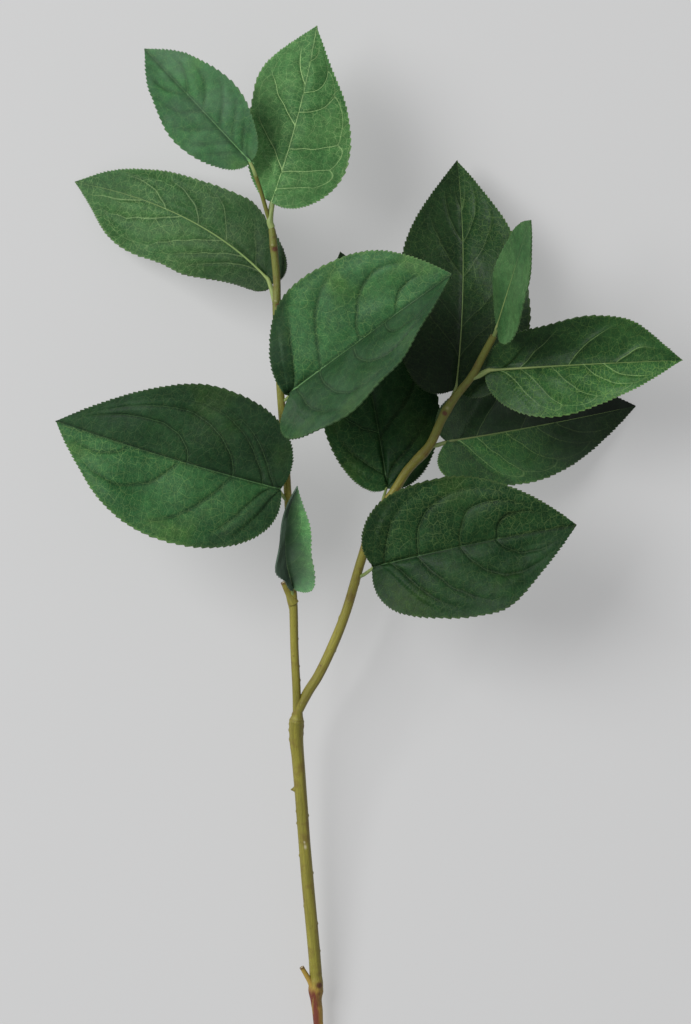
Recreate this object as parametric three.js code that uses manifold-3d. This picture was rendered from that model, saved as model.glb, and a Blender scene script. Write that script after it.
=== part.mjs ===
// A cut salal stem that lies on a surface: a main stem that forks at a ring, and twelve serrated leaves.
// Millimetres. X to the right, Y up along the stem, Z up from the surface that the stem lies on.
import * as THREE from "three";
import * as BufferGeometryUtils from "three/addons/utils/BufferGeometryUtils.js";
import Module from "manifold-3d";

const wasm = await Module();
wasm.setup();

// Driving dimensions
const GAP = 0.3; // between a petiole and its stem, and between the stems at the ring
const BLADE = 0.8; // thickness of a leaf blade
const KEEL = 0.5; // how much thicker the blade is under its midrib at the base
const TEETH = 26; // teeth along each margin
const TOOTH_DEPTH = 0.7;
const TOOTH_POINT = 0.75; // where a tooth's point stands in its step, so that the teeth lean to the tip
const TOOTH_FADE = 8; // the teeth are full after an eighth of the margin
const MARGIN_END = 0.3; // plain margin left at the tip, in steps of a tooth
const PETIOLE_RADIUS = 0.85;
const PETIOLE_SINK = 7; // how far a petiole runs on inside its blade
const PETIOLE_TAPER = 0.6; // radius of its hidden end, as a share
const STUB_FLARE = 1.3; // how much wider a cut stub is where it leaves the stem
const BUD_STRETCH = 1.6; // length of a bud bump along the stem, as a share of its width
const SURFACE = { width: 1000, depth: 20 }; // the block that cuts the resting points flat

// How finely the parts are divided
const STEM_SIDES = 10;
const STUB_SIDES = 8;
const MAIN_STEPS = 44;
const TWIG_STEPS = 60;
const BRANCH_STEPS = 44;
const PETIOLE_STEPS = 8;
const MIDRIB_ROWS = 10;
const INNER_COLUMNS = [
  { across: 0.45, rows: 10 },
  { across: 0.88, rows: 26 },
];

// Shape of half a blade, as shares of its length and half width
const LOBE_REACH = 0.09; // how far a full base lobe reaches back past the petiole
const LOBE_RISE = { least: 0.3, most: 0.62 };
const WIDEST_EASE = { before: 0.28, after: 0.27 };
const TIP_EASE = 0.86;
const MIDRIB_CROWDING = 1.15; // how much the cross lines of the blade crowd at its base
const WAVE_SHIFT = 2.2; // how far the waves of the right half lag behind those of the left

const COLOURS = {
  bark: { color: 0x85803b, roughness: 0.55, metalness: 0 },
  twig: { color: 0x8a893f, roughness: 0.5, metalness: 0 },
  deepLeaf: { color: 0x2f4f30, roughness: 0.42, metalness: 0 },
  paleLeaf: { color: 0x48683f, roughness: 0.6, metalness: 0 },
};

// Centre lines of the stems: x, y, z and radius at each point
const MAIN_STEM = [
  [-4, -262, 1.6, 1.8],
  [-9, -240, 4, 1.8],
  [-12, -215, 7, 1.9],
  [-13, -203, 8.5, 2.2],
  [-13.5, -196, 9.5, 2.9],
  [-14, -189, 10.5, 2.4],
  [-16.5, -155, 15, 2.2],
  [-19, -117, 21, 2.3],
  [-20, -98, 25.5, 2.6],
  [-20.4, -90, 28, 2.9],
  [-20.5, -85, 29.5, 2.9],
];
const LEFT_STEM = [
  [-20.5, -84.7, 29.6, 1.8],
  [-20.7, -75, 32, 1.65],
  [-21.6, -58, 35.5, 1.6],
  [-22.8, -37, 40, 1.7],
  [-23.6, -20, 43, 1.55],
  [-24.1, 5, 47, 1.5],
  [-25.7, 30, 50, 1.5],
  [-27, 47, 52, 1.5],
  [-28.6, 76, 54, 1.45],
  [-28.7, 85.5, 54.4, 1.9],
  [-29, 94, 54.7, 1.4],
  [-30.2, 110.5, 55.5, 1.75],
  [-31, 121, 57, 1.35],
  [-33, 129, 59.5, 1.05],
  [-37, 139.5, 63, 0.9],
];
const RIGHT_BRANCH = [
  [-19.4, -84, 30, 1.9],
  [-17.2, -78, 31, 1.95],
  [-11.5, -66, 33.5, 1.9],
  [-3.6, -52, 36, 1.9],
  [2.7, -37, 38, 1.9],
  [6.5, -20, 40, 1.9],
  [12, -3, 42, 1.9],
  [19.5, 10.5, 44, 1.9],
  [28, 21, 45.5, 1.8],
  [35.4, 31, 47, 1.75],
  [42.3, 44, 49, 1.95],
  [50.5, 55.5, 51, 1.5],
  [57, 64.8, 54, 1.4],
  [62.3, 73, 57.5, 1.3],
];

// Short side stubs left by cut shoots, from the stem's centre line out to the cut
const MAIN_STUBS = [
  { from: [-14, -197, 9.5], to: [-18.3, -190.5, 12.5], radius: 1 },
  { from: [-19.6, -116, 21.3], to: [-23, -113, 22], radius: 0.7 },
];
const LEFT_STUBS = [{ from: [-22.9, -38, 40], to: [-27.6, -28.5, 42.5], radius: 1.05 }];

// Bud bumps: place along the stem (0 to 1), angle round it in degrees, size
const MAIN_BUDS = [
  [0.24, 200, 0.7],
  [0.33, 10, 0.6],
  [0.48, 170, 0.6],
  [0.6, 20, 0.7],
  [0.74, 165, 0.6],
  [0.86, 350, 0.7],
];
const LEFT_BUDS = [
  [0.08, 0, 0.5],
  [0.14, 180, 0.5],
  [0.2, 340, 0.5],
  [0.38, 10, 0.45],
];
const BRANCH_BUDS = [
  [0.16, 200, 0.5],
  [0.27, 20, 0.5],
  [0.47, 330, 0.6],
  [0.73, 80, 0.8],
];

// Each leaf: where its blade starts and ends, its full width, and how it is bent.
// roll turns it about its length, arch bends the midrib down, sway bends it sideways, twist turns the tip,
// fold lifts both halves like a gutter and curl keeps lifting them towards the margins, all in degrees.
// shoulder is how full the base is, widest where the blade is widest, taper how full the tip is, and lean
// how much wider its right half is. skew fills the left half towards the tip and the right half towards the
// base. stem and at say where the petiole starts.
const LEAVES = [
  {
    name: "leaf_top", stem: "left", at: 1, base: [-39.4, 145.6, 65], tip: [-83.4, 192.6, 68], width: 33.5,
    arch: 15, fold: 8, curl: 8, shoulder: 0, widest: 0.4, skew: -0.03, colour: "deepLeaf",
  },
  {
    name: "leaf_second", stem: "left", at: 0.912, base: [-31, 128.5, 56], tip: [-12, 203.6, 44], width: 47,
    roll: -13, arch: 8, sway: 12, fold: -14, shoulder: 0.22, widest: 0.42, taper: 0.42,
    lean: 0.05, skew: 0.12, colour: "paleLeaf",
  },
  {
    name: "leaf_side", stem: "left", at: 0.748, base: [-32.5, 98, 49], tip: [-115, 141, 0], width: 40,
    roll: 4, arch: -28, sway: 34, fold: 8, shoulder: 0.75, widest: 0.47, taper: 0.46,
    lean: -0.04, skew: 0.11, wave: 0.12, waves: 2, phase: 200, colour: "paleLeaf",
  },
  {
    name: "leaf_front", stem: "left", at: 0.56, base: [-22.6, 48.6, 60], tip: [44, 98, 88], width: 75,
    roll: -25, arch: 8, sway: 2, fold: 24, curl: 8, shoulder: 0.85, taper: 0.46, lean: 0.04, skew: 0.04,
    colour: "deepLeaf",
  },
  {
    name: "leaf_left", stem: "left", at: 0.413, base: [-27, 9.6, 55], tip: [-121, 38, 58], width: 68,
    arch: 12, sway: -5, fold: 6, curl: 8, shoulder: 0.75, skew: 0.04, colour: "deepLeaf",
  },
  {
    name: "leaf_folded", stem: "left", at: 0.21, base: [-22.4, -31, 50], tip: [-20, 9.8, 84], width: 36,
    roll: 4, arch: -10, fold: 40, curl: 50, shoulder: 0.3, widest: 0.36, skew: 0.09, colour: "paleLeaf",
  },
  {
    name: "leaf_back", stem: "right", at: 0.53, base: [17.8, 10, 38], tip: [-2.3, 111, 12], width: 50,
    roll: 5, arch: 10, sway: 5, fold: 6, shoulder: 0.45, widest: 0.36, lean: 0.08, colour: "deepLeaf",
  },
  {
    name: "leaf_tall", stem: "right", at: 0.805, base: [46.4, 51.3, 43], tip: [47.6, 149.7, 12], width: 53,
    arch: 10, sway: 12, fold: 8, shoulder: 0.95, widest: 0.38, colour: "paleLeaf",
  },
  {
    name: "leaf_upright", stem: "right", at: 1, base: [63.8, 76.6, 62], tip: [75.9, 119.6, 100], width: 37,
    roll: -69, twist: 12, fold: 5, shoulder: 0, colour: "paleLeaf",
  },
  {
    name: "leaf_bright", stem: "right", at: 0.885, base: [59.8, 60.4, 50.5], tip: [140.8, 63.4, 58], width: 43,
    roll: 11, arch: 10, sway: -4, fold: 12, shoulder: 0.2, widest: 0.42, taper: 0.34, skew: 0.06,
    colour: "paleLeaf",
  },
  {
    name: "leaf_low", stem: "right", at: 0.695, base: [41.5, 28.5, 40], tip: [124.3, 45.4, 0], width: 45,
    roll: -6, arch: -28, fold: 6, shoulder: 0.35, widest: 0.36, taper: 0.36, colour: "deepLeaf",
  },
  {
    name: "leaf_lower", stem: "right", at: 0.345, base: [11.5, -23, 49], tip: [96.5, -5.4, 60], width: 60,
    roll: 4, arch: 12, sway: -6, fold: 8, curl: 4, shoulder: 0.8, widest: 0.4, colour: "deepLeaf",
  },
];
const RESTING_LEAVES = ["leaf_side", "leaf_low"];

const radians = THREE.MathUtils.degToRad;

function vector(list) {
  return new THREE.Vector3(list[0], list[1], list[2]);
}

// A closed solid from a closed surface
function solid(geometry) {
  const bare = geometry.index ? geometry.toNonIndexed() : geometry.clone();
  bare.deleteAttribute("normal");
  bare.deleteAttribute("uv");
  const merged = BufferGeometryUtils.mergeVertices(bare, 1e-4);
  const mesh = new wasm.Mesh({
    numProp: 3,
    vertProperties: new Float32Array(merged.attributes.position.array),
    triVerts: new Uint32Array(merged.index.array),
  });
  return new wasm.Manifold(mesh);
}

function geometryOf(manifold) {
  const mesh = manifold.getMesh();
  const geometry = new THREE.BufferGeometry();
  geometry.setAttribute("position", new THREE.Float32BufferAttribute(mesh.vertProperties, 3));
  geometry.setIndex(new THREE.Uint32BufferAttribute(mesh.triVerts, 1));
  return geometry;
}

// A round tube with its own radius at every point of a centre line
function taperedTube(points, radii, steps, sides) {
  const curve = new THREE.CatmullRomCurve3(points);
  const frames = curve.computeFrenetFrames(steps, false);
  const tube = new THREE.CylinderGeometry(1, 1, 1, sides, steps);
  const position = tube.attributes.position;
  const centre = new THREE.Vector3();
  for (let i = 0; i < position.count; i += 1) {
    const along = THREE.MathUtils.clamp(position.getY(i) + 0.5, 0, 1);
    const ring = Math.round(along * steps);
    const radius = radiusAt(curve, radii, along);
    curve.getPointAt(along, centre);
    centre.addScaledVector(frames.normals[ring], position.getZ(i) * radius);
    centre.addScaledVector(frames.binormals[ring], position.getX(i) * radius);
    position.setXYZ(i, centre.x, centre.y, centre.z);
  }
  return { geometry: tube, curve };
}

// The radius at a share of the length, smoothly between the radii given at the points
function radiusAt(curve, radii, along) {
  const place = curve.getUtoTmapping(along) * (radii.length - 1);
  const index = Math.min(Math.floor(place), radii.length - 2);
  const share = THREE.MathUtils.smoothstep(place - index, 0, 1);
  return THREE.MathUtils.lerp(radii[index], radii[index + 1], share);
}

// A whole stem, thicker all round by the extra amount
function stemTube(line, steps, extra = 0) {
  const points = line.map(vector);
  const radii = line.map((point) => point[3] + extra);
  const { geometry, curve } = taperedTube(points, radii, steps, STEM_SIDES);
  return { body: solid(geometry), curve, radii };
}

// A stub of a cut shoot, slightly flared where it leaves the stem
function stub({ from, to, radius }) {
  const radii = [radius * STUB_FLARE, radius];
  return solid(taperedTube([vector(from), vector(to)], radii, 2, STUB_SIDES).geometry);
}

// The end of the main stem with a clearance all round, which the branch's foot is cut back from
function collarClearance(stem) {
  const start = stem.curve.getPointAt(0.97);
  const end = stem.curve.getPointAt(1).addScaledVector(stem.curve.getTangentAt(1), GAP);
  const radius = stem.radii[stem.radii.length - 1] + GAP;
  return solid(taperedTube([start, end], [radius, radius], 1, STEM_SIDES).geometry);
}

// A small bud: a stretched ball half sunk in the stem
function bud(stem, [along, angle, size]) {
  const centre = stem.curve.getPointAt(along);
  const tangent = stem.curve.getTangentAt(along);
  const side = new THREE.Vector3(Math.cos(radians(angle)), 0, Math.sin(radians(angle)));
  side.addScaledVector(tangent, -side.dot(tangent)).normalize();
  const ball = new THREE.SphereGeometry(size, 6, 4);
  ball.scale(1, BUD_STRETCH, 1);
  ball.applyQuaternion(new THREE.Quaternion().setFromUnitVectors(new THREE.Vector3(0, 1, 0), tangent));
  centre.addScaledVector(side, radiusAt(stem.curve, stem.radii, along));
  ball.translate(centre.x, centre.y, centre.z);
  return solid(ball);
}

function joined(start, additions) {
  return additions.reduce((sum, next) => sum.add(next), start);
}

// The block under the surface, which cuts a resting point flat
function groundBlock() {
  const block = new THREE.BoxGeometry(SURFACE.width, SURFACE.width, SURFACE.depth);
  block.translate(0, 0, -SURFACE.depth / 2);
  return solid(block);
}

// Outline of the left (1) or right (-1) half of a blade as two smooth curves: a share of the length, and of
// the half width
function halfOutline({ shoulder = 0.5, widest = 0.38, taper = 0.4, skew = 0 }, side) {
  const crest = widest + side * skew;
  const lobe = Math.max(shoulder - 2 * side * skew, 0);
  const rise = THREE.MathUtils.lerp(LOBE_RISE.least, LOBE_RISE.most, lobe);
  const outline = new THREE.CurvePath();
  outline.add(
    new THREE.CubicBezierCurve(
      new THREE.Vector2(0, 0),
      new THREE.Vector2(-LOBE_REACH * lobe, rise),
      new THREE.Vector2(WIDEST_EASE.before * crest, 1),
      new THREE.Vector2(crest, 1),
    ),
  );
  outline.add(
    new THREE.CubicBezierCurve(
      new THREE.Vector2(crest, 1),
      new THREE.Vector2(crest + WIDEST_EASE.after, 1),
      new THREE.Vector2(TIP_EASE, taper + 1.5 * side * skew),
      new THREE.Vector2(1, 0),
    ),
  );
  return outline;
}

// Sine and cosine rules of a constant bend, safe for no bend at all
function bentLength(bend, distance) {
  return Math.abs(bend) < 1e-6 ? distance : Math.sin(bend * distance) / bend;
}

function bentRise(bend, distance) {
  return Math.abs(bend) < 1e-6 ? 0 : (1 - Math.cos(bend * distance)) / bend;
}

// A flat point of the blade (along the midrib, across it) bent to its place, in units of the blade's length
function bendPoint(leaf, along, across, halfWidth) {
  const { fold = 0, curl = 0, twist = 0, sway = 0, arch = 0, wave = 0, waves = 1.5, phase = 0 } = leaf;
  const side = Math.sign(across);
  const out = Math.abs(across);
  const slope = radians(fold);
  const turn = radians(curl) / halfWidth;
  const flat = Math.abs(turn) < 1e-6;
  let y = flat ? out * Math.cos(slope) : (Math.sin(slope + turn * out) - Math.sin(slope)) / turn;
  let z = flat ? out * Math.sin(slope) : (Math.cos(slope) - Math.cos(slope + turn * out)) / turn;
  const ripple = 2 * Math.PI * waves * along + radians(phase) + (side < 0 ? WAVE_SHIFT : 0);
  z += wave * halfWidth * (out / halfWidth) ** 2 * Math.sin(ripple);
  y *= side;
  const turned = radians(twist) * along;
  [y, z] = [y * Math.cos(turned) - z * Math.sin(turned), y * Math.sin(turned) + z * Math.cos(turned)];
  const swayed = radians(sway);
  const x = bentLength(swayed, along) - y * Math.sin(swayed * along);
  y = bentRise(swayed, along) + y * Math.cos(swayed * along);
  const arched = radians(arch);
  return new THREE.Vector3(
    bentLength(arched, x) + z * Math.sin(arched * x),
    y,
    -bentRise(arched, x) + z * Math.cos(arched * x),
  );
}

// The turn, size and place that carry a bent blade to its base and tip
function leafPlacement(leaf) {
  const base = vector(leaf.base);
  const tip = vector(leaf.tip);
  const bentTip = bendPoint(leaf, 1, 0, 1);
  const length = base.distanceTo(tip) / bentTip.length();
  const forward = tip.clone().sub(base).normalize();
  const up = new THREE.Vector3(0, 0, 1).addScaledVector(forward, -forward.z).normalize();
  up.applyAxisAngle(forward, radians(leaf.roll ?? 0));
  const left = new THREE.Vector3().crossVectors(up, forward);
  const localForward = bentTip.normalize();
  const localUp = new THREE.Vector3(0, 0, 1).addScaledVector(localForward, -localForward.z).normalize();
  const localLeft = new THREE.Vector3().crossVectors(localUp, localForward);
  const world = new THREE.Matrix4().makeBasis(forward, left, up);
  const local = new THREE.Matrix4().makeBasis(localForward, localLeft, localUp).transpose();
  return { base, length, turn: world.multiply(local) };
}

// A function that gives the blade's middle surface at a place along the margin and a share across
function leafSurface(leaf) {
  const { base, length, turn } = leafPlacement(leaf);
  const leftOutline = halfOutline(leaf, 1);
  const rightOutline = halfOutline(leaf, -1);
  const halfWidth = leaf.width / 2 / length;
  const surface = (along, across) => {
    const edge = (across > 0 ? leftOutline : rightOutline).getPointAt(along);
    const middle = along ** MIDRIB_CROWDING;
    const lean = 1 - Math.sign(across) * (leaf.lean ?? 0);
    const x = THREE.MathUtils.lerp(middle, edge.x, Math.abs(across));
    const point = bendPoint(leaf, x, across * edge.y * halfWidth * lean, halfWidth);
    return point.applyMatrix4(turn).multiplyScalar(length).add(base);
  };
  return { surface, length, halfWidth };
}

// Triangles between two rows of vertices that share their ends, each vertex with its place along the leaf
function zip(rowA, rowB, triangles) {
  let a = 0;
  let b = 0;
  while (a < rowA.length - 1 || b < rowB.length - 1) {
    const stepA = b === rowB.length - 1 || (a < rowA.length - 1 && rowA[a + 1].along <= rowB[b + 1].along);
    const next = stepA ? rowA[a + 1] : rowB[b + 1];
    const corners = [rowA[a].index, next.index, rowB[b].index];
    if (new Set(corners).size === 3) {
      triangles.push(corners);
    }
    if (stepA) {
      a += 1;
    } else {
      b += 1;
    }
  }
}

// The margin's places: a tooth's point and its notch in turn, points leaning to the tip
function marginPlaces() {
  const steps = TEETH + MARGIN_END;
  const places = [];
  for (let tooth = 0; tooth < TEETH; tooth += 1) {
    places.push({ along: (tooth + TOOTH_POINT) / steps, out: 1 });
    places.push({ along: (tooth + 1) / steps, out: 0 });
  }
  return places;
}

function evenPlaces(count) {
  return Array.from({ length: count }, (_, index) => ({ along: (index + 1) / (count + 1), out: 0 }));
}

// The blade: one middle surface, its two faces set off along the normals, and the rim between them
function bladeGeometry(leaf) {
  const { surface, length, halfWidth } = leafSurface(leaf);
  const points = [surface(0, 0), surface(1, 0)];
  const keels = [KEEL, 0];
  const toothShare = TOOTH_DEPTH / (halfWidth * length);
  const row = (places, across) => {
    const inner = places.map(({ along, out }) => {
      const fade = Math.min(1, TOOTH_FADE * along, TOOTH_FADE * (1 - along));
      points.push(surface(along, across * (1 + out * toothShare * fade)));
      keels.push(across === 0 ? KEEL * (1 - along) : 0);
      return { along, index: points.length - 1 };
    });
    return [{ along: 0, index: 0 }, ...inner, { along: 1, index: 1 }];
  };
  const midrib = row(evenPlaces(MIDRIB_ROWS), 0);
  const triangles = [];
  const margins = [1, -1].map((side) => {
    const inner = INNER_COLUMNS.map(({ across, rows }) => row(evenPlaces(rows), side * across));
    const lines = [midrib, ...inner, row(marginPlaces(), side)];
    const half = [];
    for (let column = 0; column < lines.length - 1; column += 1) {
      zip(lines[column], lines[column + 1], half);
    }
    triangles.push(...half.map((corners) => (side > 0 ? corners : corners.slice().reverse())));
    return lines[lines.length - 1];
  });
  return thickened(points, keels, triangles, margins);
}

// The solid blade from its middle surface, with a keel under the midrib
function thickened(points, keels, triangles, [leftMargin, rightMargin]) {
  const sheet = new THREE.BufferGeometry().setFromPoints(points);
  sheet.setIndex(triangles.flat());
  sheet.computeVertexNormals();
  const normals = sheet.attributes.normal;
  const count = points.length;
  const shell = [];
  for (const [side, sign] of [["upper", 1], ["lower", -1]]) {
    points.forEach((point, index) => {
      const offset = BLADE / 2 + (side === "lower" ? keels[index] : 0);
      const normal = new THREE.Vector3().fromBufferAttribute(normals, index);
      shell.push(point.clone().addScaledVector(normal, sign * offset));
    });
  }
  const faces = [...triangles];
  triangles.forEach(([a, b, c]) => faces.push([a + count, c + count, b + count]));
  const rim = (line, flip) => {
    for (let index = 0; index < line.length - 1; index += 1) {
      const here = line[index].index;
      const next = line[index + 1].index;
      const [a, b] = flip ? [next, here] : [here, next];
      faces.push([a, a + count, b + count], [a, b + count, b]);
    }
  };
  rim(leftMargin, true);
  rim(rightMargin, false);
  const geometry = new THREE.BufferGeometry().setFromPoints(shell);
  geometry.setIndex(faces.flat());
  return geometry;
}

// The petiole: out of the stem at a right angle, round to the blade and on inside it under the midrib
function petioleGeometry(leaf, stem) {
  const { surface, length } = leafSurface(leaf);
  const base = surface(0, 0);
  const inside = surface((PETIOLE_SINK / length) ** (1 / MIDRIB_CROWDING), 0);
  const points = [];
  if (leaf.at === 1) {
    const end = stem.curve.getPointAt(1);
    const tangent = stem.curve.getTangentAt(1);
    points.push(end.clone().addScaledVector(tangent, GAP));
    points.push(end.clone().addScaledVector(tangent, GAP + PETIOLE_RADIUS));
  } else {
    const centre = stem.curve.getPointAt(leaf.at);
    const tangent = stem.curve.getTangentAt(leaf.at);
    const out = base.clone().sub(centre);
    out.addScaledVector(tangent, -out.dot(tangent)).normalize();
    const reach = radiusAt(stem.curve, stem.radii, leaf.at) + GAP;
    points.push(centre.clone().addScaledVector(out, reach));
    points.push(centre.clone().addScaledVector(out, reach + PETIOLE_RADIUS));
  }
  points.push(base, inside);
  const radii = points.map((point) => PETIOLE_RADIUS * (point === inside ? PETIOLE_TAPER : 1));
  return taperedTube(points, radii, PETIOLE_STEPS, STUB_SIDES).geometry;
}

function mesh(name, manifold, finish) {
  const part = new THREE.Mesh(geometryOf(manifold), new THREE.MeshStandardMaterial(COLOURS[finish]));
  part.name = name;
  return part;
}

const ground = groundBlock();
const mainStem = stemTube(MAIN_STEM, MAIN_STEPS);
const leftStem = stemTube(LEFT_STEM, TWIG_STEPS);
const rightBranch = stemTube(RIGHT_BRANCH, BRANCH_STEPS);
const stems = { left: leftStem, right: rightBranch };

const mainBuds = MAIN_BUDS.map((place) => bud(mainStem, place));
const leftBuds = LEFT_BUDS.map((place) => bud(leftStem, place));
const branchBuds = BRANCH_BUDS.map((place) => bud(rightBranch, place));
const mainBody = joined(mainStem.body, [...MAIN_STUBS.map(stub), ...mainBuds]);
const leftBody = joined(leftStem.body, [...LEFT_STUBS.map(stub), ...leftBuds]);
const branchBody = joined(rightBranch.body, branchBuds);
const besideFork = stemTube(LEFT_STEM, TWIG_STEPS, GAP).body.add(collarClearance(mainStem));

const group = new THREE.Group();
group.add(mesh("main_stem", mainBody.subtract(ground), "bark"));
group.add(mesh("left_stem", leftBody, "twig"));
group.add(mesh("right_branch", branchBody.subtract(besideFork), "bark"));
for (const leaf of LEAVES) {
  const whole = solid(bladeGeometry(leaf)).add(solid(petioleGeometry(leaf, stems[leaf.stem])));
  const rests = RESTING_LEAVES.includes(leaf.name);
  group.add(mesh(leaf.name, rests ? whole.subtract(ground) : whole, leaf.colour));
}

// The origin lies on the surface, under the middle of the whole stem
const middle = new THREE.Box3().setFromObject(group).getCenter(new THREE.Vector3());
group.position.set(-middle.x, -middle.y, 0);
group.updateMatrixWorld(true);

export default group;
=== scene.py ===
import sys
import logging
import math
from dataclasses import dataclass, field
from enum import Enum

import bpy
import numpy as np
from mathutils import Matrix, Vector


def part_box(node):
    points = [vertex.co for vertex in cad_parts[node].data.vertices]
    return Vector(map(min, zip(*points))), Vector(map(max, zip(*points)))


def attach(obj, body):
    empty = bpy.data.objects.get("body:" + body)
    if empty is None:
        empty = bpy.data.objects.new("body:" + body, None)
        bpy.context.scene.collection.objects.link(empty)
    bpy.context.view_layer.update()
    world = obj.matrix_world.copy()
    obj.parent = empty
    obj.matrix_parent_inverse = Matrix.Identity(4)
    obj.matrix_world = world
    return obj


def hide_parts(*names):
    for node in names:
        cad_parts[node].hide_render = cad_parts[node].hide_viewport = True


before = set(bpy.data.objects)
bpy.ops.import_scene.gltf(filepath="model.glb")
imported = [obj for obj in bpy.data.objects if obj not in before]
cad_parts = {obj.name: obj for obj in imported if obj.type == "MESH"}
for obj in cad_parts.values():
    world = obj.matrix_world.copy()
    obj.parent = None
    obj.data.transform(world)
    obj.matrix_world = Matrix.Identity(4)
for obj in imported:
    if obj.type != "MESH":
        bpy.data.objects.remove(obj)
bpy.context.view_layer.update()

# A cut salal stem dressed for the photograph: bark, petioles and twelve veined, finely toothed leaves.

LOG = logging.getLogger("salal")

Array = np.ndarray
Point = tuple[float, float, float]
Colour = tuple[float, float, float]
Row = tuple[float, float, float, float]
Span = tuple[float, float]
Material = bpy.types.Material
Piece = bpy.types.Object
Socket = bpy.types.NodeSocket

MM = 0.001
DRAWING_SHIFT = np.array([-9.89, 29.37, 0.0])  # where the zero of the drawing lies in the frame, in mm
MERGE_DISTANCE = 2e-6
CURVE_SAMPLES = 40
TANGENT_REACH = 0.004
OUTLINE_SAMPLES = 240
BLADE_THICKNESS = 0.6
MIDRIB_CROWDING = 1.15
MARGIN_CROWDING = 1.12
COLUMN_WIDTH = 0.85
COLUMN_LIMITS = (16, 38)
WAVE_SHIFT = 2.2
TOOTH_PITCH = 1.75
TOOTH_DEPTH = 0.62
LEAST_TEETH = 20
MARGIN_PER_LENGTH = 1.12
TOOTH_PROFILE = (0.0, 0.38, 0.76, 1.0)
TOOTHLESS_ENDS = 0.1
FLOOR_GAP = 0.35  # the least height of the middle of a blade, in mm
RIB_STEPS = 40
RIB_SHARE = 0.38  # the midrib's radius over the petiole's, apart from its end and its collar
RIB_END = 0.06
RIB_TAPER = 1.2
COLLAR_SHARE = 0.48
COLLAR_REACH = 0.035
PETIOLE_SIDES = 14
PETIOLE_STEP = 0.7
FOOT_STRAIGHT = 1.05  # the petiole's foot over its radius, where it runs on from the stem or branches off
FOOT_BRANCHED = 1.25
FOOT_SUNK = 1.3
FOOT_HEIGHT = 0.8
STEM_STEP = 0.4
STUB_SIDES = 20
STUB_STEP = 0.35
STUB_FLARE = (1.75, 1.15)  # the stub's radius at its stem and half-way, over its radius at the end
BLUSH_REACH = (-2.0, 3.0)  # where the red and the ochre of the foot fade out, in mm from its node
OCHRE_REACH = (-2.0, 7.0)
BLADE_SHARP = 60  # edges that turn by more degrees than this stay sharp
TUBE_SHARP = 40
CAP_RADII = (0.0, 0.55, 0.92)
CUT_DEPTHS = (0.3, 0.24, 0.12)
BEFORE = (-2.0, -1.0)  # spans of travel that a stem never reaches, below its start and beyond its end
BEYOND = (1e4, 2e4)


class Face(Enum):
    """Which face of a leaf looks up from the surface that the stem lies on."""

    UPPER = "upper"
    UNDER = "under"


class Print(Enum):
    """The green that is printed on the face of a leaf that looks up."""

    DEEP = "deep"
    RICH = "rich"
    PALE = "pale"


class Stem(Enum):
    """The stems that leaves grow from."""

    LEFT = "left_stem"
    RIGHT = "right_branch"


def smooth_step(low: float, high: float, value: Array) -> Array:
    """Return shares that rise smoothly from 0 to 1 between two values."""
    share = np.clip((value - low) / (high - low), 0, 1)
    return share * share * (3 - 2 * share)


def bump(distance: Array, width: float) -> Array:
    """Return a bell of height 1 that fades over the given width."""
    return np.exp(-((distance / width) ** 2))


def unit(vectors: Array) -> Array:
    """Return vectors of length 1 in the given directions."""
    return vectors / np.maximum(np.linalg.norm(vectors, axis=-1, keepdims=True), 1e-12)


def travelled(points: Array) -> Array:
    """Return the travel from the first point to each one."""
    return np.concatenate([[0], np.cumsum(np.linalg.norm(np.diff(points, axis=0), axis=1))])


@dataclass(frozen=True)
class Ripple:
    """Soft, seeded unevenness over a flat sheet, made of crossing waves."""

    seed: int
    length: float
    waves: int = 9

    def height(self, x: Array, y: Array) -> Array:
        """Give the unevenness at flat places.

        Args:
            x: Places along the sheet, in mm.
            y: Places across it, in mm.

        Returns:
            Heights of about -1 to 1.
        """
        draw = np.random.default_rng(self.seed)
        total = np.zeros_like(x)
        for _ in range(self.waves):
            angle = draw.uniform(0, 2 * math.pi)
            rate = 2 * math.pi / (self.length * draw.uniform(0.7, 1.5))
            start = draw.uniform(0, 2 * math.pi)
            total += np.sin(rate * (x * math.cos(angle) + y * math.sin(angle)) + start)
        return total / math.sqrt(self.waves)


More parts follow.
